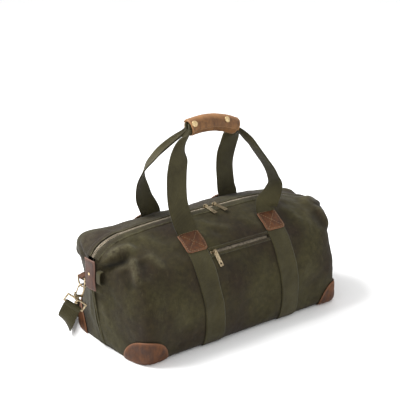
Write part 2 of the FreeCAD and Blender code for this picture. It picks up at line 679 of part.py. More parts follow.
make_panels()
make_inside()
make_webbing()
make_corner_patches()
make_main_zip()
make_main_sliders()
make_pocket_zip()
make_grip()
make_legs()
make_end_trim()
make_hardware()
make_strap()
make_adjuster()
for left in [name for name in pieces if name.startswith("left_") and "zip" not in name]:
    right = left.replace("left_", "right_")
    if right not in pieces:
        pieces[right] = mirrored_x(pieces[left])

os.makedirs("parts", exist_ok=True)
for name, shape in pieces.items():
    shape.exportStep("parts/" + name + ".step")
    print("%-26s %d solids, %.0f cubic mm" % (name, len(shape.Solids), shape.Volume))
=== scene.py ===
import json
import math

import bpy
import numpy as np
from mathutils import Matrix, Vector, noise

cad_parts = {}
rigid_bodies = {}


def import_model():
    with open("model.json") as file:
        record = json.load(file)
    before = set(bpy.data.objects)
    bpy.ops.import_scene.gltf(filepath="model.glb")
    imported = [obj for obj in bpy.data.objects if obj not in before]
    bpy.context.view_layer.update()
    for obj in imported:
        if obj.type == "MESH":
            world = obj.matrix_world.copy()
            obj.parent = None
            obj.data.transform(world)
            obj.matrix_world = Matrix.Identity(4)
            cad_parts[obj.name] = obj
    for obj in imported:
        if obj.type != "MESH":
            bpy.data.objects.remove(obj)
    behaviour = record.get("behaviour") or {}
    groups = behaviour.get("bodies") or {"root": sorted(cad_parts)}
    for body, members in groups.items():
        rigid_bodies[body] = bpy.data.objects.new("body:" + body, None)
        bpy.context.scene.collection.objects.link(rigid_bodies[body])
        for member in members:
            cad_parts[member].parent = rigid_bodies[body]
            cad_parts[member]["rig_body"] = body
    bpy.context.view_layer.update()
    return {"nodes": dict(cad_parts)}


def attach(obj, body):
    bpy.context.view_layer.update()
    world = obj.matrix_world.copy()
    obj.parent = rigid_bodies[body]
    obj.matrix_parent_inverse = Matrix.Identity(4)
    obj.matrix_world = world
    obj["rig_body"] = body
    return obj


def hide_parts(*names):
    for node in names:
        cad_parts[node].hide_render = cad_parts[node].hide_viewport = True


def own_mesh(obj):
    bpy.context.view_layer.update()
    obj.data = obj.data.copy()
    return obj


# Weekender bag, in metres, in the frame of the CAD: X runs along the bag, -Y is the front,
# +Z is up.  The canvas body is a spline form with folds and creases pressed into it, and the
# webbing, leather and stitching lie on that form.

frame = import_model()

FRONT, BACK = -1, 1
LEFT, RIGHT = -1, 1
SIDES = ((FRONT, "front"), (BACK, "back"))
ENDS = ((LEFT, "left"), (RIGHT, "right"))

# Bag body
CELL = 0.003            # spacing of the canvas mesh
CANVAS_THICK = 0.0018
FLOOR_AIR = 0.0002
LINING_DEPTH = 0.011    # from the canvas in to the lining
POCKET_DEPTH = 0.0070   # and to the pocket's bag
WEB_X = 0.107           # from the middle of the bag to each webbing run
WEB_HALF = 0.025
WEB_DRIFT = {LEFT: 0.013, RIGHT: 0.006}     # how far each front run strays down to the base
WEB_THICK = 0.0022
WEB_AIR = 0.0006        # between the canvas and the webbing on it
PATCH_HALF = 0.0265
PATCH_Z = (0.197, 0.226)
LEATHER = 0.0022
LEATHER_AIR = 0.0004    # under the leather
POCKET_HALF = 0.080
POCKET_SLOT = 0.0068
POCKET_MIDDLE = np.array([0, -0.10336, 0.18977])
POCKET_UP = np.array([0, 0.5952, 0.8036])
POCKET_OUT = np.array([0, -0.8036, 0.5952])

# Zip
TEETH_Z = -0.0038       # the teeth's middle below the canvas
TEETH_LIFT = 0.0027     # how far the drawn teeth stand above that
TOOTH_PITCH = 0.0026
TOOTH_BEVEL = ("BEVEL", {"width": 0.00025, "segments": 1, "limit_method": "ANGLE"})
FACING_HALF = 0.0085    # half the width of the canvas strip along the zip
FACING_WAVER = 0.0006   # how much its outer edge strays

# Handles and grip
ARCH_R = 0.194
ARCH_X = -0.015
ARCH_TOP = 0.431
GRIP_X = (-0.053, 0.070)
GRIP_HALF_Y = 0.015
GRIP_HALF_Z = 0.0175
SNAP_X = (-0.046, 0.036)
SNAP_ANGLE = 34         # degrees up from the front
STITCH_RISE = 0.0026    # studs and stitches stand this far off the wrap

# Strap
STRAP_WIDTH = 0.038
STRAP_THICK = 0.0022


# ---------------------------------------------------------------- camera
def make_camera():
    target = Vector((-0.0227, 0, 0.2650))
    place = Vector((-1.3681, -1.7080, 1.0087))
    data = bpy.data.cameras.new("camera")
    data.lens = 97.24
    data.sensor_width = 36
    camera = bpy.data.objects.new("camera", data)
    camera.location = place
    camera.rotation_euler = (target - place).to_track_quat("-Z", "Y").to_euler()
    bpy.context.scene.collection.objects.link(camera)
    bpy.context.scene.camera = camera


# ---------------------------------------------------------------- materials
def new_material(name, roughness, metallic=0.0):
    material = bpy.data.materials.new(name)
    material.use_nodes = True
    tree = material.node_tree
    shader = tree.nodes["Principled BSDF"]
    shader.inputs["Roughness"].default_value = roughness
    shader.inputs["Metallic"].default_value = metallic
    return material, tree, shader


def node(tree, kind, **values):
    made = tree.nodes.new(kind)
    for key, value in values.items():
        if hasattr(made, key):
            setattr(made, key, value)
        else:
            made.inputs[key.replace("_", " ")].default_value = value
    return made


def noise_value(tree, coords, scale, detail=4, rough=0.6, stretch=None):
    """A grey noise pattern, optionally stretched along the axes."""
    made = node(tree, "ShaderNodeTexNoise", Scale=scale, Detail=detail, Roughness=rough)
    source = coords
    if stretch is not None:
        mapping = node(tree, "ShaderNodeMapping")
        mapping.inputs["Scale"].default_value = stretch
        tree.links.new(coords, mapping.inputs["Vector"])
        source = mapping.outputs["Vector"]
    tree.links.new(source, made.inputs["Vector"])
    return made.outputs["Fac"]


def ramp(tree, value, stops):
    """Colours or greys at positions along a value."""
    made = node(tree, "ShaderNodeValToRGB")
    elements = made.color_ramp.elements
    while len(elements) < len(stops):
        elements.new(0.5)
    for element, (position, colour) in zip(elements, stops):
        element.position = position
        element.color = (*colour, 1)
    tree.links.new(value, made.inputs["Fac"])
    return made.outputs["Color"]


def mix(tree, factor, first, second, mode="MIX"):
    made = node(tree, "ShaderNodeMix", data_type="RGBA", blend_type=mode)
    for socket, value in ((made.inputs[0], factor), (made.inputs[6], first), (made.inputs[7], second)):
        if isinstance(value, bpy.types.NodeSocket):
            tree.links.new(value, socket)
        elif isinstance(value, tuple):
            socket.default_value = (*value, 1)
        else:
            socket.default_value = value
    return made.outputs[2]


def math_node(tree, operation, first, second=0.5):
    made = node(tree, "ShaderNodeMath", operation=operation)
    for socket, value in ((made.inputs[0], first), (made.inputs[1], second)):
        if isinstance(value, bpy.types.NodeSocket):
            tree.links.new(value, socket)
        else:
            socket.default_value = value
    return made.outputs[0]


def bump(tree, shader, height, distance, strength=1.0):
    """Add a bump under whatever bump the shader has already."""
    made = node(tree, "ShaderNodeBump", Strength=strength, Distance=distance)
    tree.links.new(height, made.inputs["Height"])
    links = shader.inputs["Normal"].links
    if links:
        tree.links.new(links[0].from_socket, made.inputs["Normal"])
    tree.links.new(made.outputs["Normal"], shader.inputs["Normal"])


def waves(tree, uv, across, along):
    """Two crossing sets of threads, from the UV map in metres."""
    outputs = []
    for direction, spacing in (("X", across), ("Y", along)):
        made = node(tree, "ShaderNodeTexWave", bands_direction=direction, Scale=1.0)
        mapping = node(tree, "ShaderNodeMapping")
        size = 0.3142 / spacing
        mapping.inputs["Scale"].default_value = (size, size, size)
        tree.links.new(uv, mapping.inputs["Vector"])
        tree.links.new(mapping.outputs["Vector"], made.inputs["Vector"])
        outputs.append(made.outputs["Fac"])
    return outputs


def sources(tree):
    """The object's own coordinates and its UV map."""
    coords = node(tree, "ShaderNodeTexCoord")
    return coords.outputs["Object"], coords.outputs["UV"]


def grey(value):
    return (value, value, value)


def attribute(tree, name):
    """A value stored at the mesh's points."""
    made = node(tree, "ShaderNodeAttribute", attribute_name=name)
    return made.outputs["Fac"]


def canvas_material():
    """Waxed canvas: dark olive with brown patches, pale where it creases, painted shade in its hollows,
    a fine plain weave.
    """
    material, tree, shader = new_material("waxed_canvas", 0.62)
    obj, uv = sources(tree)
    clouds = noise_value(tree, obj, 9, 3, 0.5)
    base = ramp(tree, clouds, [(0.38, (0.020, 0.0125, 0.0055)), (0.50, (0.025, 0.0190, 0.0070)),
                               (0.62, (0.036, 0.0305, 0.0110))])
    mottle = noise_value(tree, obj, 85, 5, 0.65)
    mottled = ramp(tree, mottle, [(0.33, (0.72, 0.70, 0.66)), (0.52, grey(1.0)),
                                  (0.68, (1.24, 1.23, 1.18))])
    colour = mix(tree, 1.0, base, mottled, "MULTIPLY")
    slubs = noise_value(tree, obj, 60, 6, 0.75, (2.2, 2.2, 0.8))
    pale = ramp(tree, slubs, [(0.56, grey(0)), (0.75, grey(1))])
    colour = mix(tree, math_node(tree, "MULTIPLY", pale, 0.30), colour, (0.110, 0.098, 0.048))
    worn = math_node(tree, "MULTIPLY", attribute(tree, "wear_and_shade"), ramp(
        tree, noise_value(tree, obj, 90, 4, 0.7), [(0.35, grey(0.1)), (0.65, grey(1))]))
    colour = mix(tree, worn, colour, (0.125, 0.113, 0.062))
    # Painted shade: where the value is negative, in crease valleys, under the ear folds and on the
    # pocket welts' slot edges, the colour goes towards near black.
    painted_hollow_shade = math_node(tree, "MULTIPLY", attribute(tree, "wear_and_shade"), -1.0)
    colour = mix(tree, painted_hollow_shade, colour, (0.006, 0.005, 0.003))
    grain = noise_value(tree, obj, 900, 2, 0.6)
    grained = ramp(tree, grain, [(0.3, grey(0.75)), (0.7, grey(1.25))])
    colour = mix(tree, 0.7, colour, grained, "MULTIPLY")
    tree.links.new(colour, shader.inputs["Base Color"])
    rough = ramp(tree, clouds, [(0.3, grey(0.70)), (0.7, grey(0.86))])
    tree.links.new(rough, shader.inputs["Roughness"])
    shader.inputs["Specular IOR Level"].default_value = 0.16
    shader.inputs["Sheen Weight"].default_value = 0.06
    shader.inputs["Sheen Roughness"].default_value = 0.5
    weft, warp = waves(tree, uv, 0.0011, 0.0011)
    bump(tree, shader, math_node(tree, "MAXIMUM", weft, warp), 0.00018, 0.6)
    bump(tree, shader, noise_value(tree, obj, 140, 5, 0.7), 0.0007, 0.55)
    bump(tree, shader, noise_value(tree, obj, 38, 4, 0.6), 0.0022, 0.35)
    return material


def webbing_material():
    """Cotton webbing: olive, with lengthwise ribs and small cross threads."""
    material, tree, shader = new_material("webbing", 0.78)
    obj, uv = sources(tree)
    tone = noise_value(tree, obj, 18, 4, 0.6)
    base = ramp(tree, tone, [(0.35, (0.036, 0.030, 0.012)), (0.65, (0.058, 0.050, 0.021))])
    rib, thread = waves(tree, uv, 0.0031, 0.0016)
    valley = ramp(tree, rib, [(0.0, grey(0.55)), (0.35, grey(1.0))])
    colour = mix(tree, 0.8, base, valley, "MULTIPLY")
    fluff = noise_value(tree, obj, 600, 3, 0.6)
    fluffy = ramp(tree, fluff, [(0.3, grey(0.8)), (0.7, (1.2, 1.2, 1.15))])
    colour = mix(tree, 0.8, colour, fluffy, "MULTIPLY")
    tree.links.new(colour, shader.inputs["Base Color"])
    shader.inputs["Specular IOR Level"].default_value = 0.15
    shader.inputs["Sheen Weight"].default_value = 0.08
    shader.inputs["Sheen Roughness"].default_value = 0.45
    bump(tree, shader, rib, 0.0007, 0.8)
    bump(tree, shader, thread, 0.00015, 0.35)
    bump(tree, shader, fluff, 0.0002, 0.4)
    return material


def leather_material(name, dark, light, roughness, spots=0.35):
    """Oiled leather: two tones in clouds, darker pores, pale scuffs on raised edges."""
    material, tree, shader = new_material(name, roughness)
    obj, _ = sources(tree)
    clouds = noise_value(tree, obj, 45, 5, 0.65)
    base = ramp(tree, clouds, [(0.34, dark), (0.66, light)])
    streaks = noise_value(tree, obj, 120, 4, 0.75, (1.0, 1.0, 0.35))
    marks = ramp(tree, streaks, [(0.36, (0.55, 0.52, 0.50)), (0.55, grey(1.0)),
                                 (0.72, (1.35, 1.32, 1.28))])
    colour = mix(tree, 0.85, base, marks, "MULTIPLY")
    pale = tuple(min(1.0, value * 1.9 + 0.03) for value in light)
    worn = math_node(tree, "MULTIPLY", attribute(tree, "wear_and_shade"), 0.75)
    colour = mix(tree, worn, colour, pale)
    tree.links.new(colour, shader.inputs["Base Color"])
    rough = ramp(tree, clouds, [(0.3, grey(roughness - 0.08)), (0.7, grey(roughness + 0.12))])
    tree.links.new(rough, shader.inputs["Roughness"])
    shader.inputs["Specular IOR Level"].default_value = 0.34
    cells = node(tree, "ShaderNodeTexVoronoi", feature="DISTANCE_TO_EDGE", Scale=700)
    tree.links.new(obj, cells.inputs["Vector"])
    pores = ramp(tree, cells.outputs["Distance"], [(0.0, grey(0)), (0.16, grey(1))])
    bump(tree, shader, pores, 0.00022, spots)
    bump(tree, shader, noise_value(tree, obj, 130, 5, 0.7), 0.0007, 0.5)
    return material


def metal_material(name, bright, dull, roughness):
    """Antique brass: dull in the hollows, rubbed bright, with fine scratches."""
    material, tree, shader = new_material(name, roughness, 1.0)
    obj, _ = sources(tree)
    tarnish = noise_value(tree, obj, 260, 5, 0.7)
    colour = ramp(tree, tarnish, [(0.36, dull), (0.60, bright)])
    tree.links.new(colour, shader.inputs["Base Color"])
    rough = ramp(tree, tarnish, [(0.3, grey(roughness + 0.16)), (0.7, grey(roughness - 0.06))])
    tree.links.new(rough, shader.inputs["Roughness"])
    scratches = noise_value(tree, obj, 900, 3, 0.7, (1.0, 0.2, 1.0))
    bump(tree, shader, scratches, 0.00008, 0.5)
    return material


def cloth_material(name, colour, spacing, roughness=0.8):
    """A plain-woven tape or lining of one colour."""
    material, tree, shader = new_material(name, roughness)
    obj, uv = sources(tree)
    tone = noise_value(tree, obj, 60, 4, 0.6)
    low = tuple(value * 0.72 for value in colour)
    high = tuple(value * 1.25 for value in colour)
    base = ramp(tree, tone, [(0.35, low), (0.65, high)])
    weft, warp = waves(tree, uv, spacing, spacing)
    weave = math_node(tree, "MAXIMUM", weft, warp)
    woven = ramp(tree, weave, [(0.2, grey(0.72)), (0.8, grey(1.1))])
    tree.links.new(mix(tree, 0.7, base, woven, "MULTIPLY"), shader.inputs["Base Color"])
    bump(tree, shader, weave, 0.0003, 0.6)
    return material


def thread_material(name, colour):
    """Sewing thread, darker in its twist."""
    material, tree, shader = new_material(name, 0.6)
    obj, _ = sources(tree)
    twist = noise_value(tree, obj, 1500, 2, 0.6)
    low = tuple(value * 0.65 for value in colour)
    tree.links.new(ramp(tree, twist, [(0.35, low), (0.65, colour)]), shader.inputs["Base Color"])
    bump(tree, shader, twist, 0.00015, 0.6)
    return material


def board_material():
    """Fibreboard."""
    material, tree, shader = new_material("board", 0.85)
    obj, _ = sources(tree)
    fibres = noise_value(tree, obj, 300, 5, 0.7, (0.2, 1.0, 1.0))
    tree.links.new(ramp(tree, fibres, [(0.3, (0.20, 0.15, 0.10)), (0.7, (0.33, 0.26, 0.18))]),
                   shader.inputs["Base Color"])
    bump(tree, shader, fibres, 0.0003, 0.5)
    return material


def floor_material():
    """A plain pale studio floor."""
    material, tree, shader = new_material("floor", 0.9)
    obj, _ = sources(tree)
    tone = noise_value(tree, obj, 3, 2, 0.5)
    tree.links.new(ramp(tree, tone, [(0.3, grey(0.93)), (0.7, grey(0.95))]),
                   shader.inputs["Base Color"])
    shader.inputs["Specular IOR Level"].default_value = 0.1
    return material


CANVAS = canvas_material()
WEBBING = webbing_material()
TAN = leather_material("tan_leather", (0.046, 0.0145, 0.0035), (0.108, 0.037, 0.0085), 0.62)
GRIP = leather_material("grip_leather", (0.095, 0.037, 0.010), (0.225, 0.105, 0.034), 0.52)
DARK = leather_material("dark_leather", (0.042, 0.018, 0.011), (0.095, 0.042, 0.026), 0.52)
BRASS = metal_material("antique_brass", (0.52, 0.42, 0.27), (0.20, 0.15, 0.09), 0.36)
STUD = metal_material("stud_brass", (0.78, 0.60, 0.34), (0.46, 0.33, 0.16), 0.28)
TEETH = metal_material("zip_teeth", (0.34, 0.29, 0.22), (0.15, 0.125, 0.09), 0.5)
TAPE = cloth_material("zip_tape", (0.030, 0.025, 0.018), 0.0009)
COTTON = cloth_material("lining_cotton", (0.16, 0.14, 0.10), 0.0008)
THREAD = thread_material("tan_thread", (0.23, 0.15, 0.075))
OLIVE_THREAD = thread_material("olive_thread", (0.075, 0.068, 0.038))
DARK_THREAD = thread_material("dark_thread", (0.045, 0.025, 0.015))
BOARD = board_material()


# ---------------------------------------------------------------- mesh building
def unit(vectors):
    lengths = np.linalg.norm(vectors, axis=-1, keepdims=True)
    return vectors / np.maximum(lengths, 1e-9)


def run_lengths(points):
    """How far along a line each of its points is."""
    return np.concatenate([[0], np.cumsum(np.linalg.norm(np.diff(points, axis=0), axis=1))])


def smoothstep(low, high, value):
    t = np.clip((value - low) / (high - low), 0, 1)
    return t * t * (3 - 2 * t)


def make_piece(name, points, faces, material, slot, uv=None, wear_and_shade=None, smooth=True):
    """A mesh object with one material, a UV map in metres and a value at each point: wear where
    positive, painted shade where negative.
    """
    mesh = bpy.data.meshes.new(name)
    mesh.from_pydata([tuple(p) for p in points], [], faces)
    mesh.polygons.foreach_set("use_smooth", [smooth] * len(mesh.polygons))
    if uv is not None:
        layer = mesh.uv_layers.new(name="UVMap")
        corners = np.zeros(len(mesh.loops), dtype=np.int32)
        mesh.loops.foreach_get("vertex_index", corners)
        layer.data.foreach_set("uv", np.asarray(uv, float)[corners].ravel())
    values = np.zeros(len(points)) if wear_and_shade is None else np.asarray(wear_and_shade)
    mesh.attributes.new("wear_and_shade", "FLOAT", "POINT").data.foreach_set("value", values.astype(np.float32))
    mesh.materials.append(material)
    mesh.update()
    piece = bpy.data.objects.new(name, mesh)
    bpy.context.scene.collection.objects.link(piece)
    return piece


def grid_faces(rows, cols, wrap=False):
    """Quads over a grid of rows x cols points; wrap joins the last column to the first."""
    faces = []
    last = cols if wrap else cols - 1
    for r in range(rows - 1):
        for c in range(last):
            d = (c + 1) % cols
            faces.append((r * cols + c, r * cols + d, (r + 1) * cols + d, (r + 1) * cols + c))
    return faces


def tube_faces(count, ring):
    """Quads round a closed profile swept over count places, and a flat cap at each end."""
    faces = grid_faces(count, ring, wrap=True)
    faces.append(tuple(range(ring - 1, -1, -1)))
    faces.append(tuple((count - 1) * ring + i for i in range(ring)))
    return faces


def flipped(faces):
    return [(a, d, c, b) for a, b, c, d in faces]


def grid(columns, rows):
    """Every pair of a column's and a row's value, column by column."""
    return np.repeat(columns, len(rows)), np.tile(rows, len(columns))


def ride_bag(piece, *nodes):
    """Fix a piece to the bag's body, in place of CAD nodes if any are named."""
    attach(piece, "bag")
    if nodes:
        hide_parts(*nodes)
    return piece


def applied(piece, *modifiers):
    """Add modifiers, given as (type, settings), and leave only their result."""
    for kind, settings in modifiers:
        made = piece.modifiers.new(kind.lower(), kind)
        for key, value in settings.items():
            setattr(made, key, value)
    graph = bpy.context.evaluated_depsgraph_get()
    graph.update()
    mesh = bpy.data.meshes.new_from_object(piece.evaluated_get(graph))
    piece.modifiers.clear()
    piece.data = mesh
    return piece


def grounded(piece):
    """Flatten whatever dips below the floor."""
    for vertex in piece.data.vertices:
        vertex.co.z = max(vertex.co.z, FLOOR_AIR)


def sweep(name, centres, across, normals, profile, material, slot, wear_and_shade=None, uv_scale=1.0):
    """Sweep a closed profile of (sideways, outward) points along a line, with flat ends."""
    count = len(centres)
    ring = len(profile)
    profile = np.asarray(profile, float)
    points = (centres[:, None, :] + across[:, None, :] * profile[None, :, :1]
              + normals[:, None, :] * profile[None, :, 1:2]).reshape(-1, 3)
    run = run_lengths(centres)
    uv = np.stack([np.tile(profile[:, 0] * uv_scale, count), np.repeat(run, ring)], axis=1)
    faces = tube_faces(count, ring)
    values = None if wear_and_shade is None else np.tile(wear_and_shade, count)
    return make_piece(name, points, faces, material, slot, uv, values)


def band_profile(half, thick, steps=14, edge=0.0005):
    """Cross-section of webbing: flat, with a slightly thicker rounded edge each side."""
    top = []
    for i in range(steps + 1):
        a = -1 + 2 * i / steps
        lift = thick / 2 + edge * smoothstep(0.86, 0.95, abs(a))
        lift -= 0.0011 * smoothstep(0.94, 1.0, abs(a))
        top.append((a * half, lift))
    bottom = [(x, -z) for x, z in reversed(top)]
    return top + bottom


def smooth_path(stations, count):
    """Rows of numbers that pass smoothly through the stations, evenly along the first three."""
    rows = np.asarray(stations, float)
    padded = np.concatenate([2 * rows[:1] - rows[1:2], rows, 2 * rows[-1:] - rows[-2:-1]])
    fine = []
    for i in range(len(rows) - 1):
        p0, p1, p2, p3 = padded[i:i + 4]
        for f in np.linspace(0, 1, 24, endpoint=False):
            fine.append(0.5 * (2 * p1 + (p2 - p0) * f + (2 * p0 - 5 * p1 + 4 * p2 - p3) * f * f
                               + (3 * p1 - p0 - 3 * p2 + p3) * f ** 3))
    fine.append(rows[-1])
    fine = np.array(fine)
    run = run_lengths(fine[:, :3])
    at = np.linspace(0, run[-1], count)
    return np.stack([np.interp(at, run, fine[:, k]) for k in range(fine.shape[1])], axis=1)


def tangents(points):
    return unit(np.gradient(points, axis=0))


STITCH = 0.0034         # the visible length of one stitch
STITCH_GAP = 0.0050
STITCH_R = 0.00042


def stitches(name, lines, material, slot, body="bag", radius=STITCH_R):
    """Short raised threads along lines of (points, normals)."""
    points = []
    faces = []
    sides = 6
    for line, normals in lines:
        line = np.asarray(line, float)
        normals = np.asarray(normals, float)
        run = run_lengths(line)
        count = max(1, int(run[-1] / STITCH_GAP))
        for k in range(count):
            middle = (k + 0.5) * run[-1] / count
            ends = [middle - STITCH / 2, middle, middle + STITCH / 2]
            a, m, b = [np.array([np.interp(e, run, line[:, j]) for j in range(3)]) for e in ends]
            up = unit(np.array([np.interp(middle, run, normals[:, j]) for j in range(3)]))
            side = unit(np.cross(b - a, up))
            start = len(points)
            for place, size, rise in ((a, 0.35, -0.6), (a * 0.7 + m * 0.3, 1.0, 0.45), (m, 1.15, 0.75),
                                      (b * 0.7 + m * 0.3, 1.0, 0.45), (b, 0.35, -0.6)):
                for s in range(sides):
                    turn = 2 * math.pi * s / sides
                    points.append(place + up * radius * (rise + size * math.sin(turn))
                                  + side * radius * size * math.cos(turn))
            for ring in range(4):
                for s in range(sides):
                    t = (s + 1) % sides
                    low = start + ring * sides
                    faces.append((low + s, low + t, low + sides + t, low + sides + s))
            faces.append(tuple(start + s for s in reversed(range(sides))))
            faces.append(tuple(start + 4 * sides + s for s in range(sides)))
    piece = make_piece(name, points, faces, material, slot)
    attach(piece, body)


def bevelled(node_name, material, width, segments=2):
    """A CAD part drawn again with eased edges and its own finish."""
    source = frame["nodes"][node_name]
    piece = bpy.data.objects.new(node_name + "_finished", source.data.copy())
    piece.data.materials.clear()
    piece.data.materials.append(material)
    bpy.context.scene.collection.objects.link(piece)
    applied(piece, ("WELD", {"merge_threshold": 0.00002}),
            ("BEVEL", {"width": width, "segments": segments, "limit_method": "ANGLE",
                       "angle_limit": math.radians(38), "use_clamp_overlap": True}))
    piece.data.polygons.foreach_set("use_smooth", [True] * len(piece.data.polygons))
    applied(piece, ("WEIGHTED_NORMAL", {"keep_sharp": True}))
    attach(piece, source["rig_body"])
    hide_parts(node_name)
    return piece


# ---------------------------------------------------------------- the form of the canvas
# Control points (x, y, z) of each quarter, from the base up to the zip, all drawn on the
# positive side.  The first column is the seam in the middle of the end.
MIDDLE = [(0.122, 0.0008), (0.136, 0.009), (0.142, 0.060), (0.138, 0.120), (0.119, 0.171),
          (0.1005, 0.1985), (0.0595, 0.2285), (0.0135, 0.2445)]
SEAM = [(0.270, 0, 0.0008), (0.2765, 0, 0.009), (0.288, 0, 0.060), (0.297, 0, 0.120),
        (0.2995, 0, 0.160), (0.2995, 0.006, 0.180), (0.2993, 0.012, 0.192), (0.298, 0.013, 0.201)]
FRONT_END = [
    SEAM,
    [(0.271, 0.036, 0.0008), (0.2765, 0.036, 0.009), (0.284, 0.036, 0.060), (0.2905, 0.036, 0.120),
     (0.294, 0.036, 0.160), (0.2935, 0.036, 0.180), (0.291, 0.034, 0.200), (0.286, 0.015, 0.215)],
    [(0.270, 0.080, 0.0008), (0.2745, 0.082, 0.009), (0.2760, 0.085, 0.060), (0.2775, 0.084, 0.120),
     (0.2780, 0.081, 0.158), (0.2790, 0.074, 0.186), (0.2745, 0.056, 0.212), (0.267, 0.016, 0.2275)],
    [(0.264, 0.111, 0.0008), (0.2690, 0.119, 0.009), (0.2670, 0.122, 0.060), (0.2640, 0.117, 0.120),
     (0.2630, 0.103, 0.162), (0.2630, 0.090, 0.188), (0.258, 0.060, 0.2175), (0.249, 0.016, 0.233)],
    [(0.252, 0.124, 0.0008), (0.257, 0.138, 0.009), (0.256, 0.142, 0.060), (0.254, 0.137, 0.120),
     (0.253, 0.118, 0.167), (0.252, 0.0995, 0.191), (0.246, 0.0595, 0.219), (0.230, 0.015, 0.2375)],
]
BACK_END = [
    SEAM,
    [(0.271, 0.036, 0.0008), (0.2755, 0.036, 0.009), (0.278, 0.036, 0.060), (0.283, 0.036, 0.120),
     (0.290, 0.038, 0.160), (0.2945, 0.042, 0.185), (0.291, 0.042, 0.212), (0.286, 0.015, 0.217)],
    [(0.268, 0.078, 0.0008), (0.2700, 0.080, 0.009), (0.2620, 0.082, 0.060), (0.2600, 0.082, 0.120),
     (0.2700, 0.084, 0.160), (0.2830, 0.090, 0.196), (0.2800, 0.072, 0.2270), (0.269, 0.016, 0.2285)],
    [(0.262, 0.108, 0.0008), (0.2640, 0.114, 0.009), (0.2500, 0.113, 0.060), (0.2440, 0.110, 0.120),
     (0.2560, 0.110, 0.164), (0.2700, 0.110, 0.200), (0.264, 0.079, 0.2310), (0.250, 0.016, 0.234)],
    [(0.250, 0.122, 0.0008), (0.253, 0.134, 0.009), (0.240, 0.136, 0.060), (0.234, 0.130, 0.120),
     (0.240, 0.121, 0.168), (0.246, 0.1090, 0.203), (0.243, 0.0720, 0.2340), (0.230, 0.015, 0.2385)],
]
BACK_FULLNESS = {5: (0.006, 0.0055), 6: (0.0095, 0.0085)}    # out and up, for the back's top rows
SIDE_COLUMNS = [(0.230, 0.0075), (0.200, 0.0045), (0.150, 0.0006), (0.075, 0), (0, 0)]
SHOULDER_Z = 0.120
RIGHT_LEAN = 0.008      # how far the right end is drawn in below its ears
RIGHT_FALL = {6: 0.004, 7: 0.015}       # how much faster the right end's top rows fall
RIGHT_EAR = {5: (0.006, 0.003), 6: (0.011, 0.011)}      # how far its ears stand out and up


def right_side(column):
    """A column of the left half mirrored to the right, where the end leans in and the zip falls."""
    result = []
    for row, (x, y, z) in enumerate(column):
        width = abs(x)
        lean = RIGHT_LEAN * smoothstep(0.01, 0.06, z) * smoothstep(0.20, 0.14, z)
        lean = lean * smoothstep(0.20, 0.25, width) * smoothstep(0.285, 0.270, width)
        fall = RIGHT_FALL.get(row, 0) * smoothstep(0.135, 0.262, width)
        fall = fall * smoothstep(0.296, 0.272, width)
        out, up = RIGHT_EAR.get(row, (0, 0))
        ear = smoothstep(0.225, 0.250, width) * smoothstep(0.294, 0.282, width)
        result.append((width - float(lean - out * ear), y, z - float(fall - up * ear)))
    return result


def control_net(left_end, side):
    """All columns of one side, from the left end's seam to the right end's seam."""
    sides = []
    for x, drop in SIDE_COLUMNS:
        column = []
        for row, (y, z) in enumerate(MIDDLE):
            out, up = BACK_FULLNESS.get(row, (0, 0)) if side == BACK else (0, 0)
            sink = drop * max(0, z - SHOULDER_Z) / (MIDDLE[-1][1] - SHOULDER_Z)
            column.append((-x, -y - out, z - sink + up))
        sides.append(column)
    left = [[(-x, -y, z) for x, y, z in column] for column in left_end] + sides
    right = [right_side([(x, -y, z) for x, y, z in column]) for column in FRONT_END] + [
        right_side(column) for column in sides[:-1]]
    return np.array(left + right[::-1])


NETS = {FRONT: control_net(FRONT_END, FRONT), BACK: control_net(BACK_END, BACK)}
COLUMNS, ROWS = NETS[FRONT].shape[:2]


def weights(count, t):
    """Weights of a uniform cubic spline that starts and ends on its end points."""
    t = np.clip(np.asarray(t, float), 0, count - 1)
    i = np.minimum(t.astype(int), count - 2)
    f = t - i
    four = [(1 - f) ** 3, 3 * f ** 3 - 6 * f ** 2 + 4, -3 * f ** 3 + 3 * f ** 2 + 3 * f + 1, f ** 3]
    padded = np.zeros((len(t), count + 2))
    for k in range(4):
        padded[np.arange(len(t)), i + k] += four[k] / 6
    result = padded[:, 1:-1].copy()
    result[:, 0] += 2 * padded[:, 0]
    result[:, 1] -= padded[:, 0]
    result[:, -1] += 2 * padded[:, -1]
    result[:, -2] -= padded[:, -1]
    return result


def bare(t, v, side):
    """Points of the smooth form at places (t along, v up) on the front or the back."""
    points = np.einsum("nc,nr,crk->nk", weights(COLUMNS, t), weights(ROWS, v), NETS[side])
    points[:, 1] *= -side
    return points


def bare_normals(t, v, side):
    """Outward normals of the smooth form."""
    step = 0.02
    t = np.asarray(t, float)
    v = np.asarray(v, float)
    along = bare(t + step, v, side) - bare(t - step, v, side)
    up = bare(t, v + step, side) - bare(t, v - step, side)
    return unit(np.cross(along, up)) * -side


def even(function, low, high, spacing):
    """Parameters that step evenly along a curve of the form."""
    fine = np.linspace(low, high, 1600)
    points = function(fine)
    run = run_lengths(points)
    return np.interp(np.linspace(0, run[-1], int(run[-1] / spacing) + 1), run, fine)


def t_at_x(x):
    fine = np.linspace(5, COLUMNS - 6, 1200)
    return np.interp(x, bare(fine, np.full(len(fine), 3.0), FRONT)[:, 0], fine)


MIDDLE_V = np.linspace(0, ROWS - 1, 1600)
MIDDLE_LINE = bare(np.full(1600, (COLUMNS - 1) / 2), MIDDLE_V, FRONT)


def v_at_z(z):
    return np.interp(z, MIDDLE_LINE[:, 2], MIDDLE_V)


def v_at_pocket(up):
    """The place on the form that lies this far up the slope from the pocket's zip."""
    near = (MIDDLE_LINE[:, 2] > 0.15) & (MIDDLE_LINE[:, 2] < 0.225)
    return np.interp(up, (MIDDLE_LINE[near] - POCKET_MIDDLE) @ POCKET_UP, MIDDLE_V[near])
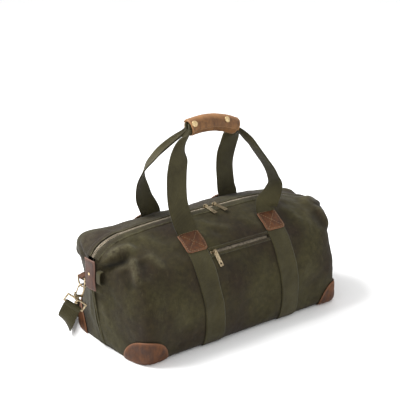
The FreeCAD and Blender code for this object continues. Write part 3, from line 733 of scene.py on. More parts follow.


# Creases: (line, height, width).  A ridge has a positive height, a valley a negative one; a ridge is
# worn paler and a valley gets painted shade.
EAR_FOLD = [(0.297, 0.020, 0.186), (0.291, 0.031, 0.196), (0.280, 0.044, 0.205),
            (0.267, 0.055, 0.212), (0.252, 0.064, 0.215), (0.243, 0.072, 0.213)]
EAR_CREASES = [
    ([(0.285, 0.027, 0.206), (0.264, 0.037, 0.219), (0.241, 0.046, 0.223), (0.230, 0.064, 0.217)],
     0.0052, 0.0080),
    ([(0.247, 0.066, 0.213), (0.253, 0.083, 0.199), (0.259, 0.100, 0.182), (0.261, 0.112, 0.162)],
     0.0062, 0.0085),
    ([(0.234, 0.078, 0.207), (0.236, 0.097, 0.190), (0.240, 0.112, 0.168)], -0.0046, 0.0120),
    ([(0.268, 0.072, 0.196), (0.271, 0.090, 0.172), (0.272, 0.100, 0.150)], -0.0040, 0.0120),
    ([(0.222, 0.070, 0.214), (0.205, 0.092, 0.199), (0.196, 0.108, 0.182)], 0.0024, 0.0100),
    ([(0.230, 0.032, 0.229), (0.214, 0.052, 0.222)], -0.0020, 0.0080),
    ([(0.287, 0.016, 0.120), (0.281, 0.030, 0.080), (0.277, 0.034, 0.045)], 0.0022, 0.0090),
    ([(0.285, 0.040, 0.150), (0.279, 0.060, 0.105)], -0.0022, 0.0130),
]
ROOF_CREASES = [
    (FRONT, [(-0.205, 0.030, 0.232), (-0.180, 0.062, 0.219)], 0.0016, 0.0060),
    (FRONT, [(-0.178, 0.026, 0.236), (-0.160, 0.070, 0.219)], -0.0016, 0.0080),
    (FRONT, [(-0.150, 0.080, 0.213), (-0.140, 0.104, 0.190)], -0.0022, 0.0100),
    (FRONT, [(-0.058, 0.036, 0.236), (-0.030, 0.060, 0.226), (0.010, 0.078, 0.214)], 0.0022, 0.0090),
    (FRONT, [(-0.050, 0.060, 0.226), (-0.020, 0.085, 0.209)], -0.0020, 0.0100),
    (FRONT, [(0.030, 0.050, 0.231), (0.062, 0.072, 0.218), (0.078, 0.094, 0.200)], 0.0018, 0.0080),
    (FRONT, [(0.150, 0.050, 0.230), (0.176, 0.075, 0.212), (0.185, 0.100, 0.190)], 0.0024, 0.0090),
    (FRONT, [(0.165, 0.040, 0.231), (0.205, 0.062, 0.217)], -0.0020, 0.0090),
    (FRONT, [(-0.190, 0.136, 0.110), (-0.160, 0.140, 0.060)], 0.0012, 0.0160),
    (FRONT, [(0.150, 0.138, 0.120), (0.190, 0.141, 0.070)], 0.0014, 0.0180),
    (FRONT, [(-0.060, 0.118, 0.165), (0.020, 0.124, 0.150), (0.070, 0.120, 0.165)], -0.0022, 0.0160),
    (BACK, [(-0.264, 0.060, 0.207), (-0.225, 0.050, 0.225), (-0.190, 0.038, 0.233)], 0.0022, 0.0055),
    (BACK, [(-0.262, 0.078, 0.200), (-0.215, 0.070, 0.215), (-0.180, 0.052, 0.228)], -0.0022, 0.0065),
    (BACK, [(-0.258, 0.092, 0.190), (-0.205, 0.088, 0.202)], 0.0020, 0.0060),
    (BACK, [(-0.060, 0.040, 0.234), (-0.010, 0.070, 0.218)], 0.0018, 0.0080),
    (BACK, [(0.050, 0.034, 0.237), (0.075, 0.080, 0.213)], -0.0018, 0.0080),
    (BACK, [(0.160, 0.045, 0.231), (0.200, 0.085, 0.202)], 0.0022, 0.0080),
    (BACK, [(-0.080, 0.140, 0.110), (0.060, 0.141, 0.080)], -0.0020, 0.0250),
]


def nearest(points, line):
    """The distance to a line of points, the place along it from 0 to 1, and the tangent."""
    line = np.asarray(line, float)
    best = np.full(len(points), 1e9)
    along = np.zeros(len(points))
    foot = np.zeros((len(points), 3))
    tangent = np.zeros((len(points), 3))
    segments = len(line) - 1
    for i in range(segments):
        edge = line[i + 1] - line[i]
        f = np.clip((points - line[i]) @ edge / (edge @ edge), 0, 1)
        at = line[i] + f[:, None] * edge
        distance = np.linalg.norm(points - at, axis=1)
        closer = distance < best
        best[closer] = distance[closer]
        along[closer] = ((i + f) / segments)[closer]
        foot[closer] = at[closer]
        tangent[closer] = unit(edge)
    return best, along, foot, tangent


def press(points, normals, line, height, width):
    """How far a crease moves points, the wear on a ridge and the painted shade in a valley."""
    distance, along, _, _ = nearest(points, line)
    amount = np.exp(-(distance / width) ** 2) * smoothstep(0, 0.25, along) * smoothstep(1, 0.75, along)
    # A ridge gives a positive value, wear; a valley a negative one, painted shade in the crease.
    wear_and_shade = amount * (height / 0.0090 if height > 0 else height / 0.0120)
    return normals * (height * amount)[:, None], wear_and_shade


def ear(points, normals, line):
    """The top's edge folds over each half of the end and hangs over a hollow; also wear on the lip and
    painted shade under it.
    """
    distance, along, foot, tangent = nearest(points, line)
    down = unit(np.cross(np.cross(tangent, (0, 0, -1.0)), tangent))
    below = np.einsum("nk,nk->n", points - foot, down)
    stray = np.sqrt(np.maximum(distance ** 2 - below ** 2, 0))
    taper = smoothstep(1.0, 0.62, along) * (0.45 + 0.55 * smoothstep(0, 0.35, along))
    taper = taper * np.exp(-(stray / 0.018) ** 2)
    lip = np.exp(-((below + 0.0085) / 0.0105) ** 2) * taper
    hollow = np.exp(-((below - 0.0095) / 0.0105) ** 2) * taper
    tuck = np.exp(-((below - 0.0010) / 0.0035) ** 2) * taper
    move = normals * (0.0075 * lip - 0.0130 * hollow - 0.0040 * tuck)[:, None]
    move = move + down * (0.0075 * lip)[:, None]
    # Painted shade in the hollow under the fold, returned as a negative value beside the wear on the
    # lip's top.
    shade = np.exp(-((below - 0.0050) / 0.0060) ** 2) * taper
    return move, 0.25 * lip * smoothstep(-0.004, -0.012, below) - 0.95 * shade


def fabric_noise(points, size, seed):
    """Smooth waves of one size, from -1 to 1."""
    shift = Vector((seed * 3.1, seed * 1.7, seed * 2.3))
    return np.array([noise.noise(Vector(p) / size + shift) for p in points])


def calm(points, side):
    """1 over the free canvas, falling to 0 at the base, the pocket's zip and the end tabs."""
    value = smoothstep(0.004, 0.030, points[:, 2])
    if side == FRONT:
        up = (points - POCKET_MIDDLE) @ POCKET_UP
        beside = np.maximum(np.abs(points[:, 0]) - POCKET_HALF, 0)
        value = value * smoothstep(0.008, 0.030, np.hypot(up, beside))
    tab = np.maximum(0, 0.290 - np.abs(points[:, 0])) + np.maximum(0, np.abs(points[:, 1]) - 0.018)
    high = points[:, 2] > 0.128
    return value * np.where(high, smoothstep(0.0, 0.014, tab), 1)


def relief(points, normals, side, top=None):
    """Move points of the form into folds, creases and small waves; also how worn they are and the
    painted shade in their hollows.
    """
    total = np.zeros_like(points)
    wear_and_shade = np.zeros(len(points))
    for end in (LEFT, RIGHT):
        mirror = np.array([end, side, 1])
        strength = 1.0 if (end, side) == (LEFT, FRONT) else 0.85
        near = points[:, 0] * end > 0.17
        here, flat = points[near], normals[near]
        move, rub_and_shade = ear(here, flat, np.array(EAR_FOLD) * mirror)
        total[near] += move * strength
        wear_and_shade[near] += rub_and_shade * strength
        for line, height, width in EAR_CREASES:
            move, rub_and_shade = press(here, flat, np.array(line) * mirror, height * strength, width)
            total[near] += move
            wear_and_shade[near] += rub_and_shade
    for where, line, height, width in ROOF_CREASES:
        if where == side:
            move, rub_and_shade = press(points, normals, np.array(line) * (1, side, 1), height, width)
            total += move
            wear_and_shade += rub_and_shade
    broad = fabric_noise(points, 0.085, 1 + side) * 0.0040
    middle = fabric_noise(points * (1, 1, 0.8), 0.034, 4 + side) * 0.0018
    fine = fabric_noise(points, 0.012, 7 + side) * 0.0006
    edge = 1.0 if top is None else 0.25 + 0.75 * smoothstep(0.0, 0.5, top)
    rough = (broad + middle + fine) * edge
    total += normals * rough[:, None]
    quiet = calm(points, side)[:, None]
    wear_and_shade = wear_and_shade + np.clip(middle / 0.0018 - 0.35, 0, 1) * 0.35 * smoothstep(0.15, 0.20, points[:, 2])
    return total * quiet, np.clip(wear_and_shade * quiet[:, 0], -1, 1)


def laid(t, v, side, lift=0.0):
    """Points on the finished canvas, lifted off it, with the form's normals and the wear and painted
    shade.
    """
    t = np.asarray(t, float)
    v = np.asarray(v, float)
    points = bare(t, v, side)
    normals = bare_normals(t, v, side)
    move, wear_and_shade = relief(points, normals, side, ROWS - 1 - v)
    return points + move + normals * lift, normals, wear_and_shade


# ---------------------------------------------------------------- canvas pieces
T_COLUMNS = even(lambda t: bare(t, np.full(len(t), 3.0), FRONT), 0, COLUMNS - 1, CELL)
V_ROWS = even(lambda v: bare(np.full(len(v), (COLUMNS - 1) / 2), v, FRONT), 0, ROWS - 1, CELL)


def snapped(values, targets):
    """Move the nearest value onto each target, so that an edge falls on a line of the mesh."""
    values = values.copy()
    for target in targets:
        values[np.argmin(np.abs(values - target))] = target
    return values


def make_canvas_side(side, name, nodes):
    slot_t = [t_at_x(-POCKET_HALF), t_at_x(POCKET_HALF)]
    slot_v = [v_at_pocket(-POCKET_SLOT), v_at_pocket(POCKET_SLOT)]
    columns = snapped(T_COLUMNS, slot_t) if side == FRONT else T_COLUMNS
    rows = snapped(V_ROWS, slot_v) if side == FRONT else V_ROWS
    t, v = grid(columns, rows)
    points, _, wear_and_shade = laid(t, v, side)
    uv = np.stack(grid(np.arange(len(columns)) * CELL, np.arange(len(rows)) * CELL), axis=1)
    faces = []
    for a, b, c, d in grid_faces(len(columns), len(rows)):
        middle_t = (t[a] + t[c]) / 2
        middle_v = (v[a] + v[c]) / 2
        in_slot = slot_t[0] < middle_t < slot_t[1] and slot_v[0] < middle_v < slot_v[1]
        if side == FRONT and in_slot:
            continue
        faces.append((a, d, c, b) if side == FRONT else (a, b, c, d))
    piece = make_piece(name, points, faces, CANVAS, "waxed_canvas", uv, wear_and_shade)
    applied(piece, ("SOLIDIFY", {"thickness": CANVAS_THICK, "offset": -1}))
    grounded(piece)
    ride_bag(piece, *nodes)


def make_canvas_base():
    count = 24
    front = bare(T_COLUMNS, np.zeros(len(T_COLUMNS)), FRONT)
    back = bare(T_COLUMNS, np.zeros(len(T_COLUMNS)), BACK)
    points = []
    uv = []
    for f, b in zip(front, back):
        for w in np.linspace(0, 1, count):
            spot = f * (1 - w) + b * w
            spot[2] = 0.0008 + 0.0004 * math.sin(40 * spot[0]) * math.sin(50 * spot[1])
            points.append(spot)
            uv.append(spot[:2])
    faces = flipped(grid_faces(len(front), count))
    piece = make_piece("canvas_base", points, faces, CANVAS, "waxed_canvas", uv)
    applied(piece, ("SOLIDIFY", {"thickness": CANVAS_THICK, "offset": -1}))
    grounded(piece)
    ride_bag(piece, "base_panel")


def cotton_layer(name, side, columns, rows, depth, nodes):
    """A layer of cotton that follows the canvas at a depth inside it."""
    t, v = grid(columns, rows)
    surface, normals, _ = laid(t, v, side)
    faces = grid_faces(len(columns), len(rows))
    if side == FRONT:
        faces = flipped(faces)
    piece = make_piece(name, surface - normals * depth, faces, COTTON, "lining_cotton",
                       np.stack([t * 0.04, v * 0.04], axis=1))
    applied(piece, ("SOLIDIFY", {"thickness": 0.0008, "offset": -1}))
    ride_bag(piece, *nodes)


def make_lining():
    """The cotton lining and the pocket's bag, inside the canvas."""
    for side, name, nodes in ((FRONT, "lining_front", ["lining"]), (BACK, "lining_back", [])):
        cotton_layer(name, side, T_COLUMNS[::4], V_ROWS[2:-3:4], LINING_DEPTH, nodes)
    cotton_layer("pocket_sack", FRONT, np.linspace(t_at_x(-POCKET_HALF), t_at_x(POCKET_HALF), 40),
                 np.linspace(v_at_z(0.050), v_at_z(0.184), 30), POCKET_DEPTH, ["pocket_bag"])


# ---------------------------------------------------------------- webbing and leather on the body
def make_webbing_runs():
    """Flat webbing from the base up to the handle patches."""
    rows = even(lambda v: bare(np.full(len(v), 9.0), v, FRONT), v_at_z(0.0035), v_at_z(0.222), 0.004)
    for side, side_name in SIDES:
        for end, end_name in ENDS:
            profile = band_profile(WEB_HALF, WEB_THICK, 20)
            ring = len(profile)
            count = len(rows)
            offsets = np.tile([p[0] for p in profile], count)
            fall = smoothstep(PATCH_Z[0], 0.06, np.interp(rows, MIDDLE_V, MIDDLE_LINE[:, 2]))
            drift = WEB_DRIFT[end] * np.repeat(fall, ring) * (side == FRONT)
            t = t_at_x(WEB_X * end + offsets + drift)
            v = np.repeat(rows, ring)
            points, normals, _ = laid(t, v, side)
            lift = np.tile([p[1] for p in profile], count) + WEB_THICK / 2 + WEB_AIR
            points = points + normals * lift[:, None]
            uv = np.stack([offsets, np.repeat(np.arange(count) * 0.004, ring)], axis=1)
            faces = tube_faces(count, ring)
            piece = make_piece(f"{side_name}_{end_name}_webbing", points, faces, WEBBING, "webbing", uv)
            ride_bag(piece, f"{side_name}_{end_name}_webbing_run")


def rounded_square(count):
    """A square grid from -1 to 1 with its corners drawn in a little."""
    a, b = np.meshgrid(np.linspace(-1, 1, count), np.linspace(-1, 1, count), indexing="ij")
    pull = 0.10 * (a * b) ** 6
    return a * (1 - pull), b * (1 - pull)


def leather_skin(name, points, normals, shape, material, slot, thick, flip):
    """A leather piece from a grid of places: solid, with rounded and worn edges."""
    rows, cols = shape
    r = np.repeat(np.arange(rows), cols)
    c = np.tile(np.arange(cols), rows)
    rim = np.minimum(np.minimum(r, rows - 1 - r), np.minimum(c, cols - 1 - c))
    points = points + normals * (thick * (smoothstep(-0.5, 2.0, rim) - 1) * 0.55)[:, None]
    wear_and_shade = smoothstep(1.6, 0, rim) * 0.9
    length = np.linalg.norm(points[-1] - points[cols - 1])
    width = np.linalg.norm(points[cols - 1] - points[0])
    uv = np.stack([r / (rows - 1) * length, c / (cols - 1) * width], axis=1)
    faces = grid_faces(rows, cols)
    if flip:
        faces = flipped(faces)
    piece = make_piece(name, points, faces, material, slot, uv, wear_and_shade)
    applied(piece, ("SOLIDIFY", {"thickness": thick * 0.8, "offset": -1}))
    return piece


def make_handle_patches():
    """Square leather patches over the handles' feet, sewn round the edge and across."""
    count = 26
    a, b = rounded_square(count)
    low, high = v_at_z(PATCH_Z[0]), v_at_z(PATCH_Z[1])
    lift = WEB_THICK + WEB_AIR + LEATHER + LEATHER_AIR
    inset = 0.86
    lines = []
    for side, side_name in SIDES:
        for end, end_name in ENDS:
            def place(along, up, rise):
                t = t_at_x(WEB_X * end + PATCH_HALF * along)
                v = (low + high) / 2 + (high - low) / 2 * up
                return laid(t, v, side, rise)
            points, normals, _ = place(a.ravel(), b.ravel(), lift)
            piece = leather_skin(f"{side_name}_{end_name}_patch_leather", points, normals,
                                 (count, count), TAN, "tan_leather", LEATHER, side == FRONT)
            ride_bag(piece, f"{side_name}_{end_name}_handle_patch")
            corners = [(-inset, -inset), (inset, -inset), (inset, inset), (-inset, inset)]
            for i in range(4):
                for j in ((i + 1) % 4, (i + 2) % 4):
                    if j == (i + 2) % 4 and i > 1:
                        continue
                    line_a = np.linspace(corners[i][0], corners[j][0], 30)
                    line_b = np.linspace(corners[i][1], corners[j][1], 30)
                    spots, ups, _ = place(line_a, line_b, lift + 0.0001)
                    lines.append((spots, ups))
    stitches("patch_stitches", lines, THREAD, "tan_leather")


def make_corner_patches():
    """Half-round leather patches that wrap the four bottom corners."""
    rings, spokes = 16, 40
    corner_t = 3.9
    run = even(lambda t: bare(t, np.full(len(t), 1.5), FRONT), 0, corner_t, 0.001)
    fore = even(lambda t: bare(t, np.full(len(t), 1.5), FRONT), corner_t, 9, 0.001)
    lines = []
    for side, side_name in SIDES:
        for end, end_name in ENDS:
            def place(reach, turn, rise):
                across = reach * np.cos(turn)
                on_end = np.interp(-across * 0.066, np.arange(len(run)) * 0.001, run[::-1])
                on_side = np.interp(across * 0.046, np.arange(len(fore)) * 0.001, fore)
                t = np.where(across < 0, on_end, on_side)
                v = np.interp(0.0012 + reach * np.sin(turn) * 0.052, MIDDLE_LINE[:, 2], MIDDLE_V)
                if end == RIGHT:
                    t = COLUMNS - 1 - t
                return laid(t, v, side, rise)
            turn = np.tile(np.linspace(0, math.pi, spokes), rings)
            reach = np.repeat(np.linspace(0.02, 1, rings), spokes)
            points, normals, _ = place(reach, turn, LEATHER + LEATHER_AIR)
            rim = (1 - reach) * rings
            points = points + normals * (LEATHER * 0.5 * (smoothstep(-0.5, 2, rim) - 1))[:, None]
            wear_and_shade = smoothstep(1.6, 0, rim) * 0.8
            low = np.clip(1 - points[:, 2] / 0.010, 0, 1)
            wear_and_shade = np.maximum(wear_and_shade, low * 0.4)
            uv = np.stack([reach * np.cos(turn) * 0.05, reach * np.sin(turn) * 0.05], axis=1)
            faces = grid_faces(rings, spokes)
            if (side == FRONT) != (end == RIGHT):
                faces = flipped(faces)
            piece = make_piece(f"{side_name}_{end_name}_corner_leather", points, faces, TAN,
                               "tan_leather", uv, wear_and_shade)
            applied(piece, ("SOLIDIFY", {"thickness": LEATHER * 0.8, "offset": 1}))
            grounded(piece)
            ride_bag(piece, f"{side_name}_{end_name}_corner_patch")
            edge = np.linspace(0.06, math.pi - 0.06, 60)
            spots, ups, _ = place(np.full(60, 0.91), edge, LEATHER + LEATHER_AIR)
            lines.append((spots, ups))
    stitches("corner_stitches", lines, THREAD, "tan_leather")


def make_end_seams():
    """A raised seam down the middle of each end, with a row of stitches each side."""
    rows = np.linspace(0.15, 4.0, 70)
    lines = []
    for end, end_name in ENDS:
        edge_t = 0 if end == LEFT else COLUMNS - 1
        t = np.full(len(rows), float(edge_t))
        centres = bare(t, rows, FRONT)
        up = tangents(centres)
        across = np.tile([0.0, 1.0, 0.0], (len(rows), 1))
        out = unit(np.cross(across, up)) * -1
        if out[0][0] * end < 0:
            out = -out
        profile = [(-0.0052, 0.0002), (-0.0044, 0.0013), (-0.0016, 0.0017), (-0.0006, 0.0008),
                   (0.0006, 0.0008), (0.0016, 0.0017), (0.0044, 0.0013), (0.0052, 0.0002),
                   (0.003, -0.0012), (-0.003, -0.0012)]
        piece = sweep(f"{end_name}_end_seam", centres, across, out, profile, CANVAS, "waxed_canvas",
                      wear_and_shade=[0, 0.5, 0.35, 0, 0, 0.35, 0.5, 0, 0, 0])
        ride_bag(piece)
        for offset in (-0.0030, 0.0030):
            lines.append((centres + across * offset + out * 0.0015, out))
    stitches("end_seam_stitches", lines, OLIVE_THREAD, "waxed_canvas")


# ---------------------------------------------------------------- main zip
def zip_line(side):
    """Along the zip: the canvas edge, the way in towards the teeth and the way up."""
    t = even(lambda t: bare(t, np.full(len(t), ROWS - 1.0), FRONT), 0.06, COLUMNS - 1.06, 0.004)
    v = np.full(len(t), ROWS - 1.0)
    edge, _, _ = laid(t, v, side)
    run = tangents(edge)
    middle = edge.copy()
    middle[:, 1] = 0
    sideways = np.tile([0.0, -float(side), 0.0], (len(t), 1))
    up = unit(np.cross(run, sideways))
    up = up * np.sign(up[:, 2:3] + 1e-6)
    return edge, middle, sideways, up


def make_zip():
    """Both halves of the main zip: the stitched canvas strip, the tape and the teeth."""
    facing_lines = []
    for side, side_name in SIDES:
        edge, middle, inward, up = zip_line(side)
        waver = np.array([noise.noise(Vector(p) * 45) for p in edge]) * FACING_WAVER
        half = FACING_HALF + waver
        centres = edge - inward * waver[:, None] + up * 0.0003
        profile = [(-1.0, -0.0042), (-0.98, -0.0024), (-0.90, -0.0012), (-0.6, -0.0003), (0, 0.0012),
                   (0.6, 0.0010), (0.90, 0.0011), (0.99, 0.0002), (0.97, -0.0010), (0, -0.0014)]
        piece = sweep(f"zip_facing_{side_name}", centres, inward * half[:, None], up, profile, CANVAS,
                      "waxed_canvas", wear_and_shade=[0, 0.3, 0.75, 0.1, 0, 0.1, 0.8, 0.3, 0, 0], uv_scale=0.009)
        ride_bag(piece)
        for a, rise in ((-0.72, -0.0006), (0.74, 0.0011)):
            facing_lines.append((centres + inward * (half * a)[:, None] + up * rise, up))
        tape_centres = middle + inward * -0.0105 + up * (TEETH_Z + 0.0016)
        tape = sweep(f"zip_tape_{side_name}", tape_centres, inward, up,
                     band_profile(0.0082, 0.0009, 6, 0), TAPE, "zip_tape")
        ride_bag(tape)
        if side == FRONT:
            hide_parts("main_zip_tapes")
        teeth = zip_teeth(middle, inward, up, side, TEETH_Z + TEETH_LIFT)
        piece = make_piece(f"zip_teeth_{side_name}", *teeth, TEETH, "zip_teeth", smooth=False)
        applied(piece, TOOTH_BEVEL)
        ride_bag(piece, f"main_zip_teeth_{side_name}")
    stitches("zip_stitches", facing_lines, OLIVE_THREAD, "waxed_canvas", radius=0.0004)


# The faces of a block whose points are counted along, then across, then up
BLOCK_FACES = ((0, 1, 3, 2), (4, 6, 7, 5), (0, 4, 5, 1), (2, 3, 7, 6), (0, 2, 6, 4), (1, 5, 7, 3))


def zip_teeth(line, inward, up, side, depth):
    """One block per tooth; the two rows stand half a step apart and meet past the middle."""
    run = run_lengths(line)
    points = []
    faces = []
    start = TOOTH_PITCH * (0.5 if side == FRONT else 1.0)
    for at in np.arange(start, run[-1], TOOTH_PITCH):
        centre, side_dir, rise = [np.array([np.interp(at, run, rows[:, k]) for k in range(3)])
                                  for rows in (line, inward, up)]
        along = unit(np.cross(side_dir, rise))
        low = len(points)
        for x in (-0.00085, 0.00085):
            for y in (-0.0040, 0.0008):
                for z in (depth - 0.0012, depth + 0.0012):
                    points.append(centre + along * x + side_dir * y + rise * z)
        faces += [tuple(low + i for i in face) for face in BLOCK_FACES]
    return points, faces


# ---------------------------------------------------------------- pocket zip
def pocket_point(x, up, out):
    return np.array([x, 0, 0]) + POCKET_MIDDLE + POCKET_UP * up + POCKET_OUT * out


def make_pocket_zip():
    """The welts, tapes and teeth of the front pocket's zip."""
    xs = np.linspace(-POCKET_HALF - 0.001, POCKET_HALF + 0.001, 60)
    v_low, v_high = v_at_pocket(-POCKET_SLOT), v_at_pocket(POCKET_SLOT)
    lines = []
    out = np.tile(POCKET_OUT, (len(xs), 1))
    for name, v, sign in (("lower", v_low, -1), ("upper", v_high, 1)):
        edge, _, _ = laid(t_at_x(xs), np.full(len(xs), v), FRONT)
        up = np.tile(POCKET_UP, (len(xs), 1)) * sign
        centres = edge + up * 0.0012 + out * 0.0008
        profile = [(-0.0040, -0.0014), (-0.0044, 0.0000), (-0.0034, 0.0008), (0, 0.0009),
                   (0.0022, 0.0007), (0.0030, -0.0004), (0.0020, -0.0014)]
        # The negative values paint shade on the welt's edge where it turns into the slot; the positive
        # ones are wear on its crown.
        piece = sweep(f"pocket_welt_{name}", centres, up, out, profile, CANVAS, "waxed_canvas",
                      wear_and_shade=[-0.6, -0.4, 0.2, 0.1, 0.1, 0, 0])
        ride_bag(piece)
        lines.append((centres + up * 0.0012 + out * 0.0009, out))
    stitches("pocket_stitches", lines, OLIVE_THREAD, "waxed_canvas", radius=0.00036)
    line = np.array([pocket_point(x, 0, 0) for x in xs])
    for name, sign in (("lower", -1), ("upper", 1)):
        inward = np.tile(POCKET_UP, (len(xs), 1)) * -sign
        centres = line - inward * 0.0066 + out * (TEETH_Z + 0.0006)
        tape = sweep(f"pocket_tape_{name}", centres, inward, out, band_profile(0.0040, 0.0009, 4, 0),
                     TAPE, "zip_tape")
        ride_bag(tape)
        teeth = zip_teeth(line, inward, out, sign, TEETH_Z)
        piece = make_piece(f"pocket_teeth_{name}", *teeth, TEETH, "zip_teeth", smooth=False)
        applied(piece, TOOTH_BEVEL)
        ride_bag(piece)
        if name == "lower":
            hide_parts("pocket_zip_tape")
            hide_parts("pocket_zip_teeth")


# ---------------------------------------------------------------- handles
# Each leg as (x, y, z, turn of its width in degrees, width, thickness), from foot to grip
LEGS = {
    "front_handle_left_leg": [
        (-0.107, -0.064, 0.226, 0, 0.050, 0.0025), (-0.1075, -0.064, 0.238, 0, 0.050, 0.0025),
        (-0.116, -0.061, 0.258, 0, 0.050, 0.0025), (-0.121, -0.053, 0.290, 2, 0.050, 0.0025),
        (-0.118, -0.045, 0.322, 3, 0.050, 0.0025), (-0.11, -0.036, 0.352, 5, 0.050, 0.0025),
        (-0.098, -0.028, 0.380, 10, 0.047, 0.0028), (-0.082, -0.018, 0.401, 32, 0.034, 0.0040),
        (-0.063, -0.008, 0.416, 70, 0.014, 0.0060), (-0.052, -0.006, 0.425, 86, 0.010, 0.0050)],
    "front_handle_right_leg": [
        (0.107, -0.064, 0.226, 0, 0.050, 0.0025), (0.107, -0.064, 0.238, -6, 0.050, 0.0025),
        (0.112, -0.063, 0.249, -36, 0.048, 0.0025), (0.126, -0.061, 0.264, -70, 0.046, 0.0025),
        (0.139, -0.056, 0.283, -92, 0.046, 0.0025), (0.139, -0.05, 0.300, -98, 0.048, 0.0025),
        (0.131, -0.046, 0.320, -98, 0.048, 0.0025), (0.118, -0.039, 0.342, -98, 0.047, 0.0025),
        (0.101, -0.03, 0.368, -96, 0.042, 0.0028), (0.086, -0.018, 0.390, -90, 0.028, 0.0040),
        (0.075, -0.008, 0.405, -84, 0.012, 0.0060), (0.067, -0.006, 0.411, -88, 0.010, 0.0050)],
    "back_handle_left_leg": [
        (-0.107, 0.064, 0.226, 0, 0.050, 0.0025), (-0.1075, 0.064, 0.238, 0, 0.050, 0.0025),
        (-0.112, 0.064, 0.250, 10, 0.050, 0.0025), (-0.121, 0.062, 0.266, 18, 0.050, 0.0025),
        (-0.132, 0.057, 0.290, 22, 0.050, 0.0025), (-0.138, 0.052, 0.320, 38, 0.050, 0.0025),
        (-0.131, 0.046, 0.347, 52, 0.048, 0.0025), (-0.114, 0.038, 0.368, 62, 0.042, 0.0026),
        (-0.093, 0.028, 0.388, 72, 0.031, 0.0030), (-0.076, 0.018, 0.404, 82, 0.022, 0.0040),
        (-0.06, 0.008, 0.418, 88, 0.012, 0.0060), (-0.051, 0.006, 0.426, 88, 0.010, 0.0050)],
    "back_handle_right_leg": [
        (0.107, 0.064, 0.226, 0, 0.050, 0.0025), (0.1065, 0.064, 0.238, 0, 0.050, 0.0025),
        (0.101, 0.063, 0.254, 5, 0.050, 0.0025), (0.091, 0.055, 0.285, 8, 0.050, 0.0025),
        (0.084, 0.048, 0.315, 6, 0.050, 0.0025), (0.081, 0.039, 0.347, 0, 0.050, 0.0025),
        (0.081, 0.028, 0.374, -4, 0.046, 0.0026), (0.079, 0.017, 0.393, -24, 0.032, 0.0040),
        (0.076, 0.008, 0.404, -66, 0.012, 0.0060), (0.067, 0.006, 0.411, -86, 0.010, 0.0050)],
}


def make_legs():
    """The handles' webbing, from the patches up to the grip, drawn into a fold where it narrows."""
    count = 90
    for name, stations in LEGS.items():
        rows = smooth_path(stations, count)
        centres = rows[:, :3]
        run = tangents(centres)
        turn = np.radians(rows[:, 3])
        across = np.stack([np.cos(turn), np.sin(turn), np.zeros(count)], axis=1)
        across = unit(across - run * np.einsum("nk,nk->n", across, run)[:, None])
        normals = np.cross(run, across)
        profile = np.array(band_profile(1.0, 1.0, 18, 0))
        ring = len(profile)
        half = rows[:, 4] / 2
        thick = rows[:, 5]
        fold = smoothstep(0.048, 0.030, rows[:, 4])
        points = []
        for i in range(count):
            a = profile[:, 0]
            curl = (a ** 2) * half[i] * 0.42 * fold[i]
            rise = profile[:, 1] * thick[i] + curl - fold[i] * half[i] * 0.2
            points.append(centres[i] + across[i] * (a * half[i])[:, None] + normals[i] * rise[:, None])
        points = np.concatenate(points)
        length = run_lengths(centres)
        uv = np.stack([np.tile(profile[:, 0] * 0.025, count), np.repeat(length, ring)], axis=1)
        faces = tube_faces(count, ring)
        piece = make_piece(name + "_webbing", points, faces, WEBBING, "webbing", uv)
        ride_bag(piece, name)
        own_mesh(piece)


# ---------------------------------------------------------------- grip
def arch_frame(x):
    """The middle of the grip at x, the way along it and the way out from the arch's centre."""
    turn = np.arcsin((x - ARCH_X) / ARCH_R)
    zero = np.zeros_like(turn)
    out = np.stack([np.sin(turn), zero, np.cos(turn)], axis=-1)
    along = np.stack([np.cos(turn), zero, -np.sin(turn)], axis=-1)
    centre = np.array([ARCH_X, 0, ARCH_TOP - ARCH_R])
    return centre + out * ARCH_R, along, out


def grip_point(x, angle, rise):
    """Round the grip: angle 0 faces the front, 90 the top; rise is height off the wrap."""
    middle, _, out = arch_frame(x)
    front = np.array([0.0, -1.0, 0.0])
    c = np.cos(np.radians(angle))[..., None]
    s = np.sin(np.radians(angle))[..., None]
    normal = unit(front * c / GRIP_HALF_Y + out * s / GRIP_HALF_Z)
    return middle + front * c * GRIP_HALF_Y + out * s * GRIP_HALF_Z + normal * rise[..., None], normal


def leather_round_grip(name, x_range, angles, rise, thick, body, nodes, closed):
    """Leather bent round the grip between two angles."""
    rows, cols = 60, 64
    xs = np.repeat(np.linspace(*x_range, rows), cols)
    turns = np.tile(np.linspace(*angles, cols, endpoint=not closed), rows)
    r = np.repeat(np.arange(rows), cols)
    c = np.tile(np.arange(cols), rows)
    rim = np.minimum(r, rows - 1 - r)
    if not closed:
        rim = np.minimum(rim, np.minimum(c, cols - 1 - c))
    probe = np.stack([xs * 60, np.cos(np.radians(turns)), np.sin(np.radians(turns))], axis=1)
    ripple = np.array([noise.noise(Vector(p) * 1.3) for p in probe]) * 0.00045
    top = rise + thick + ripple - thick * 0.5 * (1 - smoothstep(-0.5, 2.2, rim))
    points, _ = grip_point(xs, turns, top)
    rubbed_top = smoothstep(0.55, 1.0, np.sin(np.radians(turns))) * 0.4
    wear_and_shade = np.maximum(smoothstep(1.8, 0, rim) * 0.9, rubbed_top)
    uv = np.stack([xs, np.radians(turns) * 0.016], axis=1)
    faces = flipped(grid_faces(rows, cols, wrap=closed))
    piece = make_piece(name, points, faces, GRIP, "grip_leather", uv, wear_and_shade)
    applied(piece, ("SOLIDIFY", {"thickness": thick * 0.9, "offset": -1}))
    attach(piece, body)
    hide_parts(*nodes)


